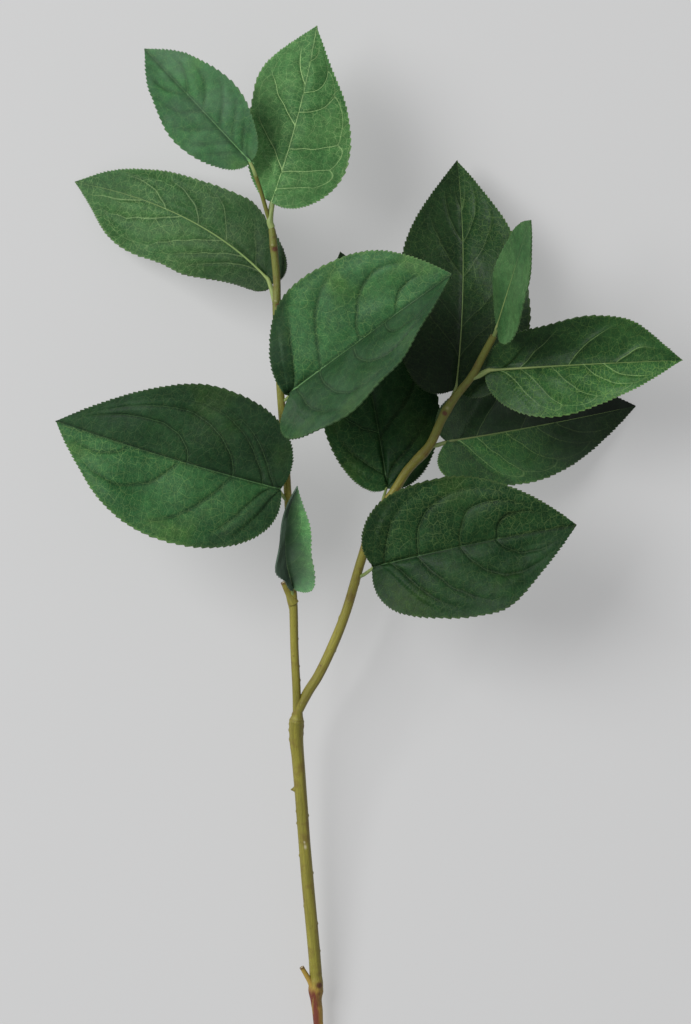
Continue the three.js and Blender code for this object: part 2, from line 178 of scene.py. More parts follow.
class CentreLine:
    """A smooth line through points that each carry a radius, measured by its length."""

    def __init__(self, rows: list[Row]) -> None:
        """Sample the line.

        Args:
            rows: Points of the line with the radius at each, in mm.
        """
        places, radii = np.array(rows)[:, :3], np.array(rows)[:, 3]
        padded = np.vstack([2 * places[0] - places[1], places, 2 * places[-1] - places[-2]])
        shares = np.linspace(0, 1, CURVE_SAMPLES, endpoint=False)
        ease = smooth_step(0, 1, shares)
        column = shares[:, None]
        samples = [self._segment(padded[start:start + 4], column) for start in range(len(places) - 1)]
        widths = [low + (high - low) * ease for low, high in zip(radii, radii[1:])]
        self.places = np.vstack([*samples, places[-1:]])
        self.radii = np.concatenate([*widths, radii[-1:]])
        self.travel = travelled(self.places)
        self.length = float(self.travel[-1])

    @staticmethod
    def _segment(four: Array, share: Array) -> Array:
        """Find points of the centripetal curve between the middle two of four points.

        Args:
            four: The points.
            share: Shares of the way, as a column.

        Returns:
            A point for each share.
        """
        steps = np.diff(four, axis=0)
        before, here, after = np.maximum(np.linalg.norm(steps, axis=1) ** 0.5, 1e-6)
        start = steps[0] / before - (four[2] - four[0]) / (before + here) + steps[1] / here
        end = steps[1] / here - (four[3] - four[1]) / (here + after) + steps[2] / after
        cube, square = share ** 3, share ** 2
        return ((2 * cube - 3 * square + 1) * four[1] + (cube - 2 * square + share) * start * here
                + (3 * square - 2 * cube) * four[2] + (cube - square) * end * here)

    def place(self, share: Array | float) -> Array:
        """Return the points at shares of the length."""
        at = np.asarray(share) * self.length
        return np.stack([np.interp(at, self.travel, self.places[:, axis]) for axis in range(3)], axis=-1)

    def radius(self, share: Array | float) -> Array:
        """Return the radii at shares of the length."""
        return np.interp(np.asarray(share) * self.length, self.travel, self.radii)

    def travel_at(self, y: float) -> float:
        """Return the travel at which the line reaches a place along Y."""
        return float(np.interp(y, self.places[:, 1], self.travel))

    def tangent(self, share: float) -> Array:
        """Return the direction of the line at a share of the length."""
        before, after = self.place(np.clip([share - TANGENT_REACH, share + TANGENT_REACH], 0, 1))
        return unit(after - before)


class Workshop:
    """The few ways in which pieces are made here: a grid that is shaped, merged and finished."""

    @staticmethod
    def only(piece: Piece) -> None:
        """Select one piece alone and make it active.

        Args:
            piece: The piece.
        """
        bpy.ops.object.select_all(action="DESELECT")
        piece.select_set(True)
        bpy.context.view_layer.objects.active = piece

    @staticmethod
    def grid(name: str, rows: int, columns: int) -> tuple[Piece, Array, Array]:
        """Add a flat grid.

        Args:
            name: Name of the piece.
            rows: Steps along the piece.
            columns: Steps across it.

        Returns:
            The piece, and the row and column of each vertex.
        """
        bpy.ops.object.select_all(action="DESELECT")
        bpy.ops.mesh.primitive_grid_add(x_subdivisions=rows, y_subdivisions=columns, size=2)
        piece = bpy.context.active_object
        piece.name = name
        flat = np.empty(len(piece.data.vertices) * 3)
        piece.data.vertices.foreach_get("co", flat)
        shares = (flat.reshape(-1, 3) + 1) / 2
        return piece, np.rint(shares[:, 0] * rows).astype(int), np.rint(shares[:, 1] * columns).astype(int)

    @staticmethod
    def shape(piece: Piece, places: Array) -> None:
        """Move every vertex to its place, given in mm in the drawing."""
        piece.data.vertices.foreach_set("co", ((places + DRAWING_SHIFT) * MM).ravel())
        piece.data.update()

    @staticmethod
    def mark(piece: Piece, domain: str, marks: dict[str, tuple[Array, Array, Array]]) -> None:
        """Store attributes of three numbers on each vertex or face corner.

        Args:
            piece: The piece.
            domain: POINT or CORNER.
            marks: The three numbers of each attribute by its name.
        """
        for name, values in marks.items():
            attribute = piece.data.attributes.new(name, "FLOAT_VECTOR", domain)
            attribute.data.foreach_set("vector", np.stack(values, axis=1).astype(np.float32).ravel())

    @classmethod
    def close(cls, piece: Piece, solid: bool) -> None:
        """Merge the points that lie on each other.

        Args:
            piece: The piece.
            solid: Whether this closes the piece, so that its faces are turned outwards.
        """
        cls.only(piece)
        bpy.ops.object.mode_set(mode="EDIT")
        bpy.ops.mesh.select_all(action="SELECT")
        bpy.ops.mesh.remove_doubles(threshold=MERGE_DISTANCE)
        if solid:
            bpy.ops.mesh.normals_make_consistent(inside=False)
        bpy.ops.mesh.select_all(action="DESELECT")
        bpy.ops.object.mode_set(mode="OBJECT")

    @classmethod
    def smooth(cls, piece: Piece, degrees: float) -> None:
        """Shade a piece smooth, with edges sharper than the angle kept."""
        cls.only(piece)
        bpy.ops.object.shade_smooth_by_angle(angle=math.radians(degrees))

    @classmethod
    def fit(cls, parts: list[Piece], name: str, node: str) -> None:
        """Join parts to one piece that stands for a solid.

        Args:
            parts: The parts.
            name: Name of the piece.
            node: The solid's node.
        """
        piece = parts[0]
        cls.only(piece)
        for part in parts[1:]:
            part.select_set(True)
        if len(parts) > 1:
            bpy.ops.object.join()
        piece.name = piece.data.name = name
        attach(piece, "root")
        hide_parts(node)
        drawn = np.array([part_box(node)]).reshape(2, 3)
        own = np.array([vertex.co for vertex in piece.data.vertices])
        drift = np.abs(np.stack([own.min(0), own.max(0)]) - drawn).max() / MM
        LOG.info("%s: %d faces, %.1f mm from its solid's box", name, len(piece.data.polygons), drift)


class Board:
    """The node board of one material, with short ways to add and join nodes."""

    def __init__(self, name: str) -> None:
        """Start an empty material with a principled shader.

        Args:
            name: Name of the material.
        """
        self.material = bpy.data.materials.new(name)
        self.material.use_nodes = True
        self.tree = self.material.node_tree
        self.shader = self.tree.nodes["Principled BSDF"]

    def put(self, socket: Socket, value: "Socket | float | Colour") -> None:
        """Join a socket to another, or set its plain value.

        Args:
            socket: The socket that takes the value.
            value: The other socket, or the value.
        """
        if isinstance(value, bpy.types.NodeSocket):
            self.tree.links.new(value, socket)
        else:
            socket.default_value = (*value, 1.0) if socket.type == "RGBA" else value

    def node(self, kind: str, inputs: dict, **settings: str) -> bpy.types.Node:
        """Add a node.

        Args:
            kind: Its kind, as Blender names it after ShaderNode.
            inputs: What its inputs take, by their numbers or names.
            settings: Its other properties.

        Returns:
            The node.
        """
        node = self.tree.nodes.new(f"ShaderNode{kind}")
        for key, value in settings.items():
            setattr(node, key, value)
        for key, value in inputs.items():
            self.put(node.inputs[key], value)
        return node

    def dress(self, looks: dict[str, "Socket | float | Colour"]) -> None:
        """Set or join inputs of the shader by their names."""
        for name, value in looks.items():
            self.put(self.shader.inputs[name], value)

    def math(self, operation: str, *values: "Socket | float") -> Socket:
        """Return the result of a math node."""
        return self.node("Math", dict(enumerate(values)), operation=operation).outputs[0]

    def times(self, product: Socket, *factors: "Socket | float") -> Socket:
        """Return the product of values.

        Args:
            product: The first value.
            factors: The other values.

        Returns:
            The product.
        """
        for factor in factors:
            product = self.math("MULTIPLY", product, factor)
        return product

    def most(self, first: Socket, second: Socket) -> Socket:
        """Return the larger of two values."""
        return self.math("MAXIMUM", first, second)

    def span(self, value: Socket, low: float, high: float, start: float = 0.0, end: float = 1.0) -> Socket:
        """Map a value smoothly from a span, from low to high, to another one, from start to end."""
        inputs = dict(enumerate((value, low, high, start, end)))
        return self.node("MapRange", inputs, interpolation_type="SMOOTHSTEP").outputs[0]

    def mix(self, share: Socket, first: "Socket | Colour", second: "Socket | Colour") -> Socket:
        """Mix two colours by a share of the second."""
        return self.node("Mix", {0: share, 6: first, 7: second}, data_type="RGBA").outputs[2]

    def tint(self, colour: Socket, factor: Socket) -> Socket:
        """Scale a colour by a value."""
        return self.node("VectorMath", {0: colour, "Scale": factor}, operation="SCALE").outputs[0]

    def vector(self, name: str) -> Socket:
        """Read an attribute as a place."""
        return self.node("Attribute", {}, attribute_name=name).outputs["Vector"]

    def numbers(self, name: str) -> tuple[Socket, Socket, Socket]:
        """Read the three numbers of an attribute."""
        return tuple(self.node("SeparateXYZ", {0: self.vector(name)}).outputs)

    def moved(self, place: Socket, scale: Point = (1, 1, 1), shift: Point = (0, 0, 0)) -> Socket:
        """Scale and shift a place."""
        return self.node("Mapping", {"Vector": place, "Scale": scale, "Location": shift}).outputs[0]

    def noise(self, place: Socket, scale: float, detail: float = 2.0, rough: float = 0.5) -> Socket:
        """Return soft noise from 0 to 1 at a place."""
        inputs = {"Vector": place, "Scale": scale, "Detail": detail, "Roughness": rough}
        return self.node("TexNoise", inputs).outputs[0]

    def cells(self, place: Socket, scale: float, feature: str = "DISTANCE_TO_EDGE") -> Socket:
        """Return the distance to the nearest wall of a net of cells, or with F1 to the nearest middle."""
        inputs = {"Vector": place, "Scale": scale}
        return self.node("TexVoronoi", inputs, voronoi_dimensions="2D", feature=feature).outputs["Distance"]

    def nudged(self, place: Socket, scale: float, amount: float) -> Socket:
        """Move a place a little at random.

        Args:
            place: The place.
            scale: How fast the moves change.
            amount: The size of the moves.

        Returns:
            The moved place.
        """
        noise = self.node("TexNoise", {"Vector": place, "Scale": scale}).outputs["Color"]
        centred = self.moved(place, shift=(-0.5 * amount,) * 3)
        inputs = {0: noise, 1: (amount,) * 3, 2: centred}
        return self.node("VectorMath", inputs, operation="MULTIPLY_ADD").outputs[0]

    def relief(self, height: Socket, depth: float) -> None:
        """Give the surface a fine relief, with its depth in metres."""
        node = self.node("Bump", {"Strength": 1.0, "Distance": depth, "Height": height})
        self.dress({"Normal": node.outputs[0]})


@dataclass(frozen=True)
class LeafFinish:
    """The finish of one face of a leaf: green with a fine net, laterals and a midrib line, with painted
    shade in the creases and along the midrib and a painted sheen.
    """

    name: str
    dark: Colour
    light: Colour
    patch: Colour
    net: Colour
    vein: Colour
    net_share: float
    vein_share: float
    vein_width: float
    rib_width: float
    # Share of painted shade in the creases beside the laterals and along the midrib.
    crease_shade: float
    roughness: float
    specular: float
    patch_share: float = 0.3
    rib_share: float = 0.75
    # The pale grey-green of the painted sheen.
    painted_sheen_colour: Colour = (0.2, 0.3, 0.22)
    ground_scale: float = 0.55
    patch_scale: float = 0.42
    clear_scale: float = 0.6
    net_scale: float = 3.4
    fine_net_scale: float = 7.5
    mottle_scale: float = 3.4
    grain_scale: float = 26.0
    # How fast the painted sheen turns patchy.
    painted_sheen_scale: float = 0.8
    sheen_scale: float = 1.1
    clear_shift: Point = (3.1, 5.7, 0.0)
    mottle_shift: Point = (1.7, 8.3, 0.0)
    rung_shift: Point = (9.0, 2.0, 0.0)
    relief: float = 0.00014

    def material(self) -> Material:
        """Build the material.

        Returns:
            A node material that follows the leaf's own marks and map.
        """
        board = Board(self.name)
        place = board.node("UVMap", {}, uv_map="blade_map").outputs[0]
        _, across, _ = board.numbers("blade_field")
        _, _, edge = board.numbers("vein_field")
        patchy = board.span(board.noise(place, self.patch_scale), 0.5, 0.66)
        patch = board.times(patchy, board.span(edge, 0.2, 0.8))
        laterals, crease_shade = self._laterals(board)
        lines = self._net(board, place, across)
        colour = self._ground(board, place, patch, crease_shade)
        clear = board.noise(board.moved(place, shift=self.clear_shift), self.clear_scale)
        clear = board.most(board.span(clear, 0.36, 0.62, 0.55, 1.0), patch)
        colour = self._lined(board, colour, board.times(lines, clear), laterals)
        self._surface(board, place, colour, lines)
        return board.material

    def _ground(self, board: Board, place: Socket, patch: Socket, crease_shade: Socket) -> Socket:
        """Colour the blade between its veins.

        Args:
            board: The material's board.
            place: The place on the blade's map.
            patch: Where the lighter patches lie, from 0 to 1.
            crease_shade: Where painted shade falls in the soft creases beside the laterals, from 0 to 1.

        Returns:
            The green, with painted shade in the creases and along the midrib.
        """
        ground = board.span(board.noise(place, self.ground_scale, 3), 0.36, 0.64)
        colour = board.mix(ground, self.dark, self.light)
        colour = board.mix(board.times(patch, self.patch_share), colour, self.patch)
        _, across, _ = board.numbers("blade_field")
        # Painted shade: the green is darkened in the creases beside the laterals and in the midrib's gutter.
        gutter = board.span(board.math("ABSOLUTE", across), 0.3, 1.6, 1.0, 0.0)
        shade = board.times(board.most(crease_shade, gutter), self.crease_shade)
        return board.tint(colour, board.math("SUBTRACT", 1.0, shade))

    def _lined(self, board: Board, colour: Socket, lines: Socket, laterals: Socket) -> Socket:
        """Draw the net, the laterals, the midrib and the pale rim over the green.

        Args:
            board: The material's board.
            colour: The green.
            lines: The lines of the net, from 0 to 1.
            laterals: The lines of the lateral veins, from 0 to 1.

        Returns:
            The green with its lines.
        """
        times, span, mix = board.times, board.span, board.mix
        rib, across, along = board.numbers("blade_field")
        _, _, edge = board.numbers("vein_field")
        _, _, net = board.numbers("blade_shading_and_net")
        colour = mix(times(lines, net, self.net_share), colour, self.net)
        colour = mix(times(laterals, self.vein_share), colour, self.vein)
        width = span(along, 0.0, 1.0, self.rib_width, 0.3 * self.rib_width)
        offset = board.math("DIVIDE", board.math("ABSOLUTE", across), width)
        fading = board.math("POWER", rib, times(along, 3.0))
        colour = mix(times(span(offset, 0.35, 1.0, self.rib_share, 0.0), fading), colour, self.vein)
        return mix(times(span(edge, 0.97, 1.0, 0.0, 0.25), net), colour, self.net)

    def _surface(self, board: Board, place: Socket, colour: Socket, lines: Socket) -> None:
        """Paint light, shade and sheen into the colour with its grain and mottling, and finish the blade
        with an uneven roughness and a fine relief.

        Args:
            board: The material's board.
            place: The place on the blade's map.
            colour: The green with its lines.
            lines: The lines of the net, which lie a little lower.
        """
        times, span = board.times, board.span
        # Painted light and shade of each half, base and base lobe, and the share of painted sheen.
        painted_shading, painted_sheen, _ = board.numbers("blade_shading_and_net")
        grain = board.noise(place, self.grain_scale, 3, 0.65)
        mottle = board.noise(board.moved(place, shift=self.mottle_shift), self.mottle_scale, 3)
        shading_and_mottle = times(painted_shading, span(grain, 0.3, 0.7, 0.76, 1.22), span(mottle, 0.32, 0.68, 0.84, 1.16))
        # Painted sheen: a pale grey-green mixed in by each leaf's share, patchy by noise.
        painted_sheen_share = times(painted_sheen, span(board.noise(place, self.painted_sheen_scale), 0.3, 0.7, 0.5, 1.4))
        colour = board.mix(painted_sheen_share, board.tint(colour, shading_and_mottle), self.painted_sheen_colour)
        sheen = board.noise(place, self.sheen_scale)
        rough = board.math("MULTIPLY_ADD", sheen, 0.14, self.roughness - 0.07)
        board.dress({"Base Color": colour, "Roughness": rough, "Specular IOR Level": self.specular})
        height = board.math("MULTIPLY_ADD", lines, -0.4, times(grain, 0.5))
        board.relief(board.math("MULTIPLY_ADD", mottle, 1.5, height), self.relief)

    def _net(self, board: Board, place: Socket, across: Socket) -> Socket:
        """Draw the thin tertiary veins, the rungs between them and small specks.

        Args:
            board: The material's board.
            place: The place on the blade's map.
            across: The distance from the midrib, in mm.

        Returns:
            The lines, from 0 to 1.
        """
        times, span = board.times, board.span
        broken = span(board.noise(place, 4.5), 0.36, 0.54, 0.4, 1.0)
        tall = board.moved(board.nudged(place, 2.2, 0.1), (1, 0.72, 1))
        coarse = span(board.cells(tall, self.net_scale), 0.01, 0.044, 0.78, 0.0)
        fine = span(board.cells(board.nudged(tall, 5.0, 0.05), self.fine_net_scale), 0.015, 0.09, 0.45, 0.0)
        stray = times(board.noise(place, 2.2), 2.6)
        rung = board.math("FRACT", board.math("MULTIPLY_ADD", across, 0.8, stray))
        rung = span(board.math("ABSOLUTE", board.math("SUBTRACT", rung, 0.5)), 0.02, 0.12, 0.35, 0.0)
        gaps = board.noise(board.moved(place, shift=self.rung_shift), 6.5, 1)
        rungs = times(rung, span(gaps, 0.5, 0.58))
        specks = span(board.cells(place, self.fine_net_scale, "F1"), 0.05, 0.13, 0.45, 0.0)
        return board.most(board.most(times(board.most(coarse, fine), broken), rungs), specks)

    def _laterals(self, board: Board) -> tuple[Socket, Socket]:
        """Draw the lateral veins, and the loops that join them near the margin.

        Args:
            board: The material's board.

        Returns:
            The light lines of the veins and loops, and where painted shade falls in the soft creases beside
            them, from 0 to 1.
        """
        times, span = board.times, board.span
        phase, pitch, edge = board.numbers("vein_field")
        loops, light, drawn = board.numbers("blade_veins")
        inside = board.math("FRACT", phase)
        away = times(board.math("MINIMUM", inside, board.math("SUBTRACT", 1.0, inside)), pitch)
        thin = span(edge, 0.0, 0.9, self.vein_width, 0.6 * self.vein_width)
        line = span(board.math("DIVIDE", away, thin), 0.4, 1.0, 1.0, 0.0)
        arch = board.math("SINE", times(inside, math.pi))
        crest = board.math("MULTIPLY_ADD", arch, 0.1, 0.78)
        gap = board.math("ABSOLUTE", board.math("SUBTRACT", edge, crest))
        loop = times(span(gap, 0.004, 0.014, 0.7, 0.0), loops)
        ended = times(span(edge, 0.76, 0.82, 1.0, 0.0), loops)
        faded = times(span(edge, 0.55, 0.95, 1.0, 0.0), board.math("SUBTRACT", 1.0, loops))
        line = times(line, board.most(ended, faded), drawn)
        # Where painted shade falls in the creases beside each lateral.
        crease_shade = times(span(away, 0.2, 1.5, 1.0, 0.0), span(edge, 0.6, 0.97, 1.0, 0.0), drawn)
        return times(board.most(line, loop), light), crease_shade


@dataclass(frozen=True)
class StalkFinish:
    """The finish of petioles and of the midribs under the blades."""

    name: str
    pale: Colour
    deep: Colour
    roughness: float = 0.5

    def material(self) -> Material:
        """Build the material.

        Returns:
            A node material with streaks along the stalk.
        """
        board = Board(self.name)
        _, _, travel = board.numbers("straight")
        streaks = board.noise(board.moved(board.vector("straight"), (1, 1, 0.12)), 1.6, 3)
        greener = board.most(board.span(streaks, 0.35, 0.65, 0.0, 0.7), board.span(travel, 8.0, 40.0))
        board.dress({"Base Color": board.mix(greener, self.pale, self.deep), "Roughness": self.roughness})
        board.relief(streaks, 0.0002)
        return board.material


@dataclass(frozen=True)
class BarkFinish:
    """The finish of the stems: olive bark with streaks, brown scars and a reddish foot, darker and greener
    towards the top, partly its own green and partly painted shade under the leaves, and browner at its sides
    by painted shade.
    """

    name: str
    light: Colour
    deep: Colour
    # Darker green of the top: partly the bark's own colour, partly painted shade under the leaves.
    green: Colour
    brown: Colour
    red: Colour
    ochre: Colour
    cut: Colour
    scar: Colour
    roughness: float = 0.45
    specular: float = 0.35

    def material(self) -> Material:
        """Build the material.

        Returns:
            A node material that follows the marks on the bark.
        """
        board = Board(self.name)
        times, span = board.times, board.span
        straight = board.vector("straight")
        scar, blush, cut = board.numbers("marks")
        green, ochre, painted_flank_shade = board.numbers("tints")
        streaks = board.noise(board.moved(straight, (1, 1, 0.06)), 0.8, 3)
        specks = span(board.noise(board.moved(straight, (1, 1, 0.55)), 1.7, 1), 0.68, 0.76)
        patchy = span(board.noise(board.moved(straight, (1, 1, 0.2)), 0.6, 3), 0.34, 0.54)
        layers = (
            # The darker green top is partly the bark's own green and partly painted shade under the leaves.
            (times(green, 0.85), self.green),
            (ochre, self.ochre),
            # Painted shade: the sides of the stem are mixed towards brown.
            (times(painted_flank_shade, 0.3), self.brown),
            (span(board.noise(straight, 0.16, 3), 0.5, 0.7, 0.0, 0.45), self.brown),
            (times(specks, 0.6), self.brown),
            (times(blush, patchy), self.red),
            (span(scar, -1.2, -0.1, 1.0, 0.0), self.cut),
            (span(scar, 0.1, 0.9), self.scar),
            (cut, self.cut),
        )
        colour = board.mix(span(streaks, 0.3, 0.7), self.light, self.deep)
        for share, layer in layers:
            colour = board.mix(share, colour, layer)
        rough = board.math("MULTIPLY_ADD", streaks, 0.2, self.roughness - 0.1)
        board.dress({"Base Color": colour, "Roughness": rough, "Specular IOR Level": self.specular})
        fine = board.noise(board.moved(straight, (1, 1, 0.25)), 3.0, 4)
        board.relief(board.math("ADD", streaks, fine), 0.00025)
        return board.material


@dataclass(frozen=True)
class VeinSide:
    """The lateral veins of one half of a leaf."""

    starts: tuple[float, ...]
    lean: float
    sweep: float
    power: float = 2.0
    loops: float = 0.0
    light: float = 1.0

    def number(self, along: Array, edge: Array) -> Array:
        """Number the places between the veins, so that the first vein lies at 1, the next at 2 and so on.

        Args:
            along: Share of the blade's length at each place.
            edge: Share of the way from the midrib to the margin.

        Returns:
            The running number at each place.
        """
        first = self.starts[1] - self.starts[0]
        last = self.starts[-1] - self.starts[-2]
        starts = np.array([self.starts[0] - first, *self.starts, self.starts[-1] + last])
        forward = self.sweep * (0.2 + 1.6 * along) * edge ** self.power
        return np.interp(along - self.lean * edge - forward, starts, np.arange(len(starts)))

    def reach(self, number: Array, along: Array, more: float) -> Array:
        """Tell where veins are drawn.

        Args:
            number: The running number at each place.
            along: Share of the blade's length at each place.
            more: How far they are drawn before the first and past the last vein, in numbers.

        Returns:
            1 where they are drawn, and 0 elsewhere and at the tip.
        """
        last = len(self.starts) + more
        inside = smooth_step(0.95 - more, 1.0 - more, number) * (1 - smooth_step(last, last + 0.05, number))
        return inside * (1 - smooth_step(0.76, 0.93, along))


@dataclass(frozen=True)
class PaintedShading:
    """Light and shade painted into a leaf: each half, the base, the base lobe and the midrib strip, with
    painted sheen and the net's strength.
    """

    # Painted light and shade: how light the left half, the right half and the base are drawn.
    left: float = 1.0
    right: float = 1.0
    base: float = 1.0
    # Share of painted sheen mixed into the colour.
    painted_sheen: float = 0.0
    # Painted light or shade on each half's base lobe.
    lobe_shading: Span = (1.0, 1.0)
    net: Span = (1.0, 1.0)
    # Painted shade beside the midrib.
    beside: float = 1.0

    def at(self, along: Array, edge: Array, side: Array, number: Array) -> Array:
        """Work out the painted light and shade at places of the blade, with each half's base lobe shaded by
        itself.

        Args:
            along: Share of the blade's length at each place.
            edge: Share of the way from the midrib to the margin.
            side: 1 on the left half and -1 on the right.
            number: The running number of the veins.

        Returns:
            The painted light and shade at each place, as a factor on the colour.
        """
        half = np.where(side > 0, self.left, self.right)
        half = half * (self.beside + (1 - self.beside) * smooth_step(0.1, 0.75, edge))
        lobe = np.where(side > 0, *self.lobe_shading)
        lobe = lobe + (1 - lobe) * smooth_step(0.75, 1.05, number)
        return half * lobe * (self.base + (1 - self.base) * smooth_step(0.0, 0.7, along))


@dataclass(frozen=True)
class LeafShape:
    """The size and bending of one blade, in mm and degrees, as the drawing of the part gives them."""

    base: Point
    tip: Point
    width: float
    roll: float = 0.0
    arch: float = 0.0
    sway: float = 0.0
    fold: float = 0.0
    curl: float = 0.0
    twist: float = 0.0
    shoulder: float = 0.5
    widest: float = 0.38
    taper: float = 0.4
    lean: float = 0.0
    skew: float = 0.0
    wave: float = 0.0
    waves: float = 1.5
    phase: float = 0.0
    reach: float = 0.09
    lobe_skew: float = 0.0

    def outline(self, side: int) -> tuple[Array, Array, Array]:
        """Draw one half's margin as two curves that meet where the blade is widest.

        Args:
            side: 1 for the left half, -1 for the right.

        Returns:
            Travel along the margin and its places along and across, each from 0 to 1.
        """
        crest = self.widest + side * self.skew
        lobe = max(self.shoulder - side * (2 * self.skew + self.lobe_skew), 0)
        first = np.array([(0, 0), (-self.reach * lobe, 0.3 + 0.32 * lobe), (0.28 * crest, 1), (crest, 1)])
        taper = self.taper + 1.5 * side * self.skew
        second = np.array([(crest, 1), (crest + 0.27, 1), (0.86, taper), (1, 0)])
        t = np.linspace(0, 1, OUTLINE_SAMPLES)[:, None]
        left = 1 - t
        curves = [left ** 3 * c[0] + 3 * left ** 2 * t * c[1] + 3 * left * t * t * c[2] + t ** 3 * c[3]
                  for c in (first, second)]
        line = np.vstack([curves[0], curves[1][1:]])
        travel = travelled(line)
        return travel / travel[-1], line[:, 0], line[:, 1]

    def bend(self, along: Array, across: Array, half: float) -> Array:
        """Bend flat places of the blade.

        Args:
            along: Places along the midrib, as shares of the length.
            across: Places across it, positive to the left, in the same unit.
            half: Half the blade's width in that unit.

        Returns:
            Bent places in that unit.
        """
        side, out = np.sign(across), np.abs(across)
        slope, turn = math.radians(self.fold), math.radians(self.curl) / half
        if abs(turn) < 1e-6:
            y, z = out * math.cos(slope), out * math.sin(slope)
        else:
            y = (np.sin(slope + turn * out) - math.sin(slope)) / turn
            z = (math.cos(slope) - np.cos(slope + turn * out)) / turn
        ripple = 2 * math.pi * self.waves * along + math.radians(self.phase)
        ripple = ripple + np.where(side < 0, WAVE_SHIFT, 0)
        z = z + self.wave * half * (out / half) ** 2 * np.sin(ripple)
        y = y * side
        turned = math.radians(self.twist) * along
        y, z = y * np.cos(turned) - z * np.sin(turned), y * np.sin(turned) + z * np.cos(turned)
        swayed = math.radians(self.sway)
        x = self._run(swayed, along) - y * np.sin(swayed * along)
        y = self._rise(swayed, along) + y * np.cos(swayed * along)
        arched = math.radians(self.arch)
        return np.stack([self._run(arched, x) + z * np.sin(arched * x), y,
                         -self._rise(arched, x) + z * np.cos(arched * x)], axis=-1)

    @staticmethod
    def _run(rate: float, distance: Array) -> Array:
        """Return how far a constant bend has gone forwards."""
        return distance if abs(rate) < 1e-6 else np.sin(rate * distance) / rate

    @staticmethod
    def _rise(rate: float, distance: Array) -> Array:
        """Return how far a constant bend has gone sideways."""
        return 0 * distance if abs(rate) < 1e-6 else (1 - np.cos(rate * distance)) / rate

    def placement(self) -> tuple[float, Array]:
        """Work out how the bent blade is laid from its base to its tip.

        Returns:
            The blade's length in mm, and the turn that carries it.
        """
        forward = np.subtract(self.tip, self.base)
        bent = self.bend(np.array([1.0]), np.array([0.0]), 1.0)[0]
        length = np.linalg.norm(forward) / np.linalg.norm(bent)
        return float(length), self._axes(forward, math.radians(self.roll)) @ self._axes(bent, 0.0).T

    @staticmethod
    def _axes(forward: Array, roll: float) -> Array:
        """Find the axes along, to the left of and above a direction.

        Args:
            forward: The direction.
            roll: The turn of the other two about it, in radians.

        Returns:
            The axes as columns.
        """
        forward = unit(forward)
        up = unit(np.array([0.0, 0.0, 1.0]) - forward * forward[2])
        up = up * math.cos(roll) + np.cross(forward, up) * math.sin(roll)
        return np.stack([forward, np.cross(up, forward), up], axis=1)


@dataclass
class LeafMarks:
    """What each place of a blade's grid knows about itself, for relief and finish."""

    along: Array
    edge: Array
    side: Array
    x: Array
    y: Array
    number: Array
    pitch: Array
    drawn: Array
    looped: Array

    def pick(self, row: Array, column: Array, side: Array) -> "LeafMarks":
        """Pick the marks at rows and columns.

        Args:
            row: The rows.
            column: The columns.
            side: The halves that the veins are taken of, 1 for the left and -1 for the right.

        Returns:
            The marks there.
        """
        half = np.where(side > 0, 0, 1)
        plain = [values[row, column] for values in (self.along, self.edge, self.x, self.y)]
        veins = [values[half, row, column] for values in (self.number, self.pitch, self.drawn, self.looped)]
        return LeafMarks(*plain[:2], side, *plain[2:], *veins)


